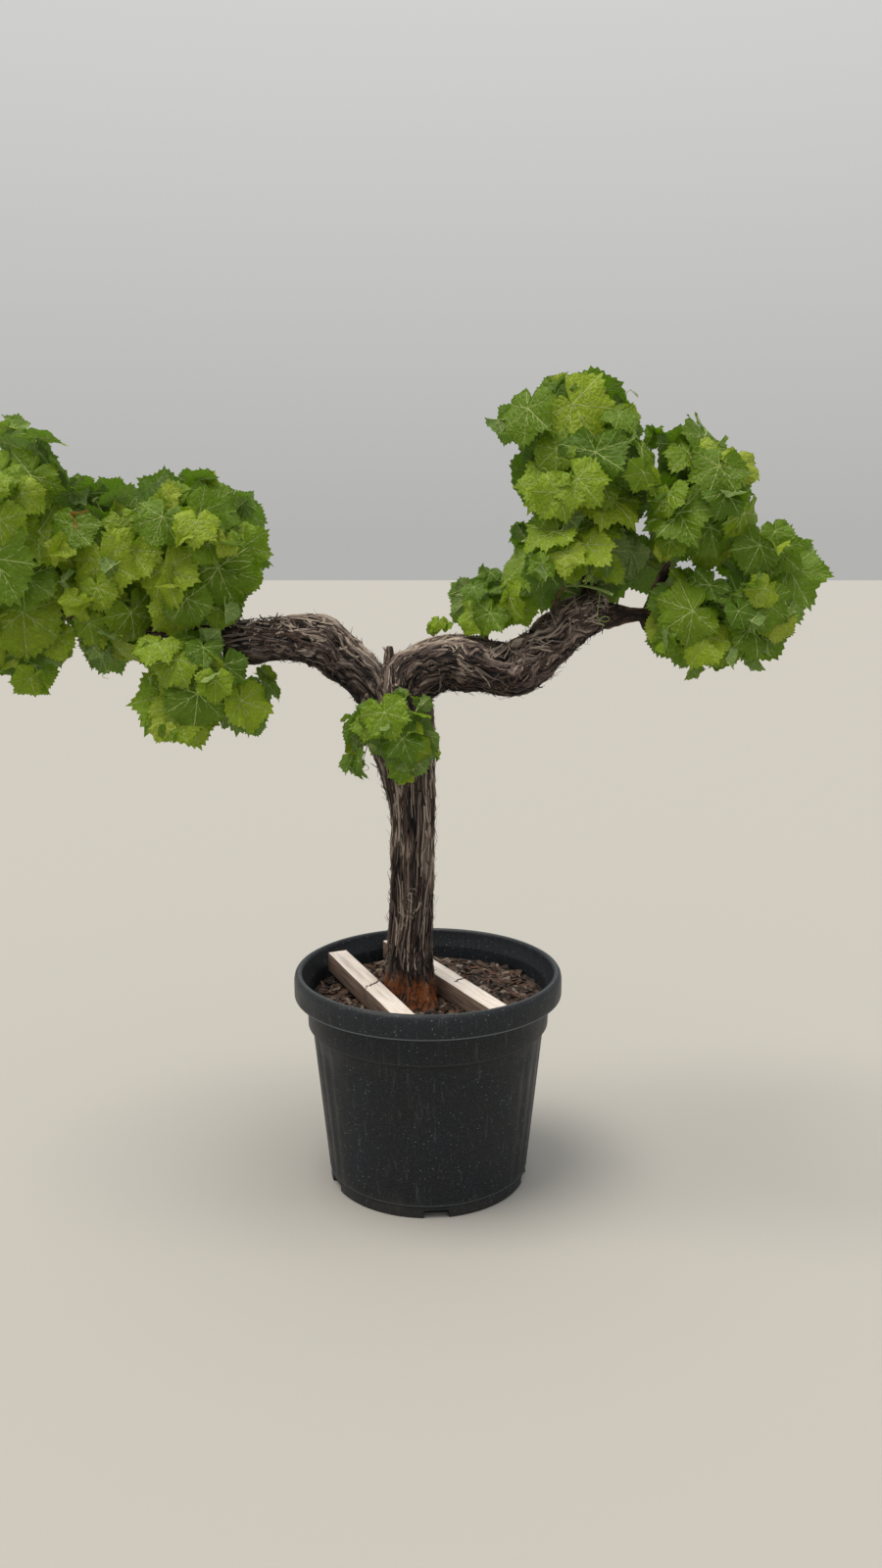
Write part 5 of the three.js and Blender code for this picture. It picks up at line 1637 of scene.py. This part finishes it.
def flake_templates(number, seed):
    """Irregular wedges, each the hull of a few points, as points and triangles of unit length."""
    roll = dice(seed)
    made = []
    for _ in range(number):
        bm = bmesh.new()
        for _ in range(FLAKE_POINTS):
            bm.verts.new((roll() - 0.5, (roll() - 0.5) * (0.3 + 0.3 * roll()), (roll() - 0.5) * 0.2))
        hull = bmesh.ops.convex_hull(bm, input=bm.verts)
        bmesh.ops.delete(bm, geom=[item for item in set(hull["geom_interior"] + hull["geom_unused"])
                                   if isinstance(item, bmesh.types.BMVert)], context="VERTS")
        bmesh.ops.triangulate(bm, faces=bm.faces)
        bmesh.ops.recalc_face_normals(bm, faces=bm.faces)
        bm.verts.index_update()
        made.append((np.array([vert.co[:] for vert in bm.verts]),
                     np.array([[vert.index for vert in face.verts] for face in bm.faces])))
        bm.free()
    return made


def flakes(number, seed, orange=False):
    """Flakes all over the bed, or orange ones in the patch at the right of the trunk."""
    templates = flake_templates(FLAKE_SHAPES, FLAKE_SHAPES_SEED)
    roll = dice(seed)
    heap = []
    for _ in range(number):
        out, turn = FLAKE_SPREAD * math.sqrt(roll()), 2 * math.pi * roll()
        long = SHORT_FLAKE + (LONG_FLAKE - SHORT_FLAKE) * roll() ** 1.4
        if orange:
            out, turn = PATCH_NEAR + PATCH_DEEP * roll(), PATCH_FIRST + PATCH_WIDE * roll()
        x, y = out * math.cos(turn), out * math.sin(turn)
        points, triangles = templates[int(roll() * len(templates))]
        tilt = Matrix.Rotation(FLAKE_TILT * (roll() - 0.5), 3, "X")
        tilt = tilt @ Matrix.Rotation(FLAKE_TILT * (roll() - 0.5), 3, "Y")
        spin = np.array(Matrix.Rotation(ANY_TURN * roll(), 3, "Z") @ tilt)
        spots = (points * long) @ spin.T + [x, y, bed_top(x, y) + FLAKE_LIFT + FLAKE_PILE * roll()]
        chance = 1.0 if orange else roll()
        far = np.hypot(spots[:, 0], spots[:, 1]).max()
        if far < FLAKE_REACH:
            heap.append((spots, triangles, sum(chance > mark for mark in FLAKE_MARKS)))
    return heap


heap = flakes(FLAKE_COUNT, 93) + flakes(ORANGE_COUNT, 95, orange=True)
piece_of("bark_flakes", mesh_from_heap("bark_flakes", heap, smooth=False), FLAKE_FINISHES)

# %% [markdown]
# ## Two battens
# Two square softwood battens lie across the soil beside the trunk, weathered pinkish grey, with a splintered
# crack in one and a dark check in the other. Each starts as a cube that is stretched, divided along its
# length, softened at its edges and laid with its far end a little higher.
# The finish paints the battens' tops much lighter, as lit from above, their sides darker, as shaded, and the
# inside of each crack dark as painted shade.

# %% Battens
BATTEN_SIDE, BATTEN_BASE, BATTEN_CUTS, SIDE_CUTS = 45, 415.3, 80, 14
GRAIN_STRETCH, GRAIN_RELIEF, CRACK_RAGGED, CRACK_HALF_WIDTH, SHARP_FROM = 14, 0.5, 9, 5.5, 40
WORN_EDGE, WORN_TOP = 2.2, 0.35
# Millimetres and degrees. A crack runs aslant over the top, from the batten's left side up to "to".
BATTENS = dict(
    batten_left=dict(turn=25.5, offset=-138.7, near=-203, far=207, rise=22,
                     crack=dict(at=-8, slant=26, depth=4.5, to=0)),
    batten_right=dict(turn=30.5, offset=39.5, near=-242, far=250, rise=15,
                      crack=dict(at=-62, slant=16, depth=3.2, to=-3)))


def squared_bar(length):
    """A squared length with worn edges, divided finely enough for its grain."""
    bm = bmesh.new()
    shape = Matrix.Diagonal((BATTEN_SIDE * MM, length * MM, BATTEN_SIDE * MM, 1))
    bmesh.ops.create_cube(bm, size=1, matrix=shape)
    bmesh.ops.bevel(bm, geom=bm.edges[:], offset=WORN_EDGE * MM, segments=2, profile=0.5, affect="EDGES",
                    material=-1)
    cuts = [((0, (k / BATTEN_CUTS - 0.5) * length * MM, 0), (0, 1, 0)) for k in range(1, BATTEN_CUTS)]
    cuts += [(((k / SIDE_CUTS - 0.5) * BATTEN_SIDE * MM, 0, 0), (1, 0, 0)) for k in range(1, SIDE_CUTS)]
    for spot, way in cuts:
        bmesh.ops.bisect_plane(bm, geom=bm.verts[:] + bm.edges[:] + bm.faces[:], plane_co=spot, plane_no=way)
    return bm


def weathered(bm, offset, crack):
    """Sinks the grain and the crack into a bar, and keeps both on its vertices for the finish, which paints
    the crack dark as painted shade.
    """
    grain = bm.verts.layers.float_vector.new("grain")
    split = bm.verts.layers.float.new("split")
    for vert in bm.verts:
        x, y, z = (value / MM for value in vert.co)
        vert[grain] = ((x + offset) * MM, y / GRAIN_STRETCH * MM, z * MM)
        vert[split] = 0.0
        across = x / BATTEN_SIDE
        lift = GRAIN_RELIEF * noise.noise(Vector((x / 5, y / 90, z / 5)))
        if z > BATTEN_SIDE / 2 - 1:
            ragged = noise.noise(Vector((across * 5, offset, 3)))
            jag = crack["at"] + crack["slant"] * across + CRACK_RAGGED * ragged
            open_here = 0.5 - crack["to"] * across > 0
            # How far a point lies in the crack; the finish paints painted shade there.
            vert[split] = max(0.0, 1 - abs(y - jag) / CRACK_HALF_WIDTH) * open_here
            lift -= crack["depth"] * vert[split] + WORN_TOP
        vert.co.z += min(lift, 0.0) * MM


def batten(name, bar):
    """A weathered bar laid across the soil, its far end a little higher than its near one."""
    length = bar["far"] - bar["near"]
    bm = squared_bar(length)
    weathered(bm, bar["offset"], bar["crack"])
    slope = math.asin(bar["rise"] / length)
    place = Matrix.Translation((0, 0, BATTEN_BASE * MM)) @ Matrix.Rotation(math.radians(bar["turn"]), 4, "Z")
    place = place @ Matrix.Translation((0, bar["near"] * MM, 0)) @ Matrix.Rotation(slope, 4, "X")
    place = place @ Matrix.Translation((bar["offset"] * MM, length / 2 * MM, BATTEN_SIDE / 2 * MM))
    bmesh.ops.transform(bm, matrix=place, verts=bm.verts)
    bmesh.ops.recalc_face_normals(bm, faces=bm.faces)
    mesh = mesh_from_bmesh(name, bm)
    mesh.set_sharp_from_angle(angle=math.radians(SHARP_FROM))
    return mesh


def softwood(name):
    """Sawn softwood gone silver-pink, its top painted lighter, partly weathering and partly painted light
    from above, and its sides browner and darker as painted shade, with grey grain lines.
    """
    made = finish_of(name, "#a8907f", 0.85)
    place = kept_on(made, "grain", "Vector")
    # The top is painted much lighter, as lit from above, and the sides darker, as shaded, by the way each
    # face points.
    normal = add_node(made, "NewGeometry").outputs["Normal"]
    up = add_node(made, "SeparateXYZ", links={0: normal}).outputs["Z"]
    ring = noise_at(made, place, 190.0, 4.0, 0.6)
    top = ramp_of(made, ring, [(0.3, "#d0c1b5"), (0.5, "#eadfd5"), (0.72, "#f5eee7")])
    side = ramp_of(made, ring, [(0.3, "#4f4038"), (0.52, "#7c6759"), (0.75, "#937d6e")])
    facing = share_between(made, up, 0.35, 0.75)
    top_and_sides_with_painted_light = add_node(made, "Mix", links={6: side, 7: top, 0: facing}, data_type="RGBA").outputs[2]
    damp = layer_over(made, top_and_sides_with_painted_light, noise_at(made, place, 26.0, 3.0), 0.6, 0.78, "#5d4d43", 0.6)
    # The inside of the crack is painted dark as shade.
    feed(made, "Base Color", layer_over(made, damp, kept_on(made, "split"), 0.25, 0.6, "#1d1512"))
    relief_of(made, noise_at(made, place, 700.0, 2.0), 0.0008, 0.6)
    return made


SOFTWOOD = softwood("softwood_batten_weathered_painted_light")
for name, bar in BATTENS.items():
    piece_of(name + "_wood", batten(name + "_wood", bar), [SOFTWOOD], [name])

# %% [markdown]
# ## Floor, light and camera
# The plant stands on a very large pale floor. The photograph was taken under an overcast sky, so most of
# the light comes from a pale surround that is brightest overhead and half as bright at the horizon. One
# very wide, weak sun from above, a little to the left, adds the soft shade under the leaves. The camera
# stands where the photographer stood, 2.7 m in front of the vine at the height of its crown, and looks
# a little down.

# %% Stage, light and camera
def floor_piece():
    bm = bmesh.new()
    bmesh.ops.create_grid(bm, x_segments=1, y_segments=1, size=40)
    floor = in_scene("studio_floor", mesh_from_bmesh("studio_floor", bm, smooth=False))
    floor.data.materials.append(finish_of("studio_floor_pale_matte", "#adaba6", 0.9))


floor_piece()
sun = bpy.data.lights.new("soft_key", "SUN")
sun.energy, sun.angle, sun.color = 2.3, math.radians(35), linear("#fff6e8")[:3]
in_scene("soft_key", sun).rotation_euler = (math.radians(6), math.radians(-16), 0)
world = bpy.data.worlds.new("studio")
world.use_nodes = True
sky = world.node_tree.nodes
place = sky.new("ShaderNodeTexCoord").outputs["Generated"]
apart = sky.new("ShaderNodeSeparateXYZ")
world.node_tree.links.new(place, apart.inputs[0])
fade = sky.new("ShaderNodeValToRGB")
for element, level in zip(fade.color_ramp.elements, (0.46, 1.0)):
    element.color = (level, level * 0.996, level * 0.98, 1)
world.node_tree.links.new(apart.outputs["Z"], fade.inputs["Fac"])
world.node_tree.links.new(fade.outputs["Color"], sky["Background"].inputs["Color"])
sky["Background"].inputs["Strength"].default_value = 0.98
bpy.context.scene.world = world

view = bpy.data.cameras.new("photo_view")
view.lens, view.sensor_width = 29.03, 36
camera = in_scene("photo_view", view)
camera.location = (0.029, -2.697, 1.431)
camera.rotation_euler = (math.radians(90 - 11.07), 0, 0)
bpy.context.scene.camera = camera
bpy.context.scene.view_settings.view_transform = "Standard"
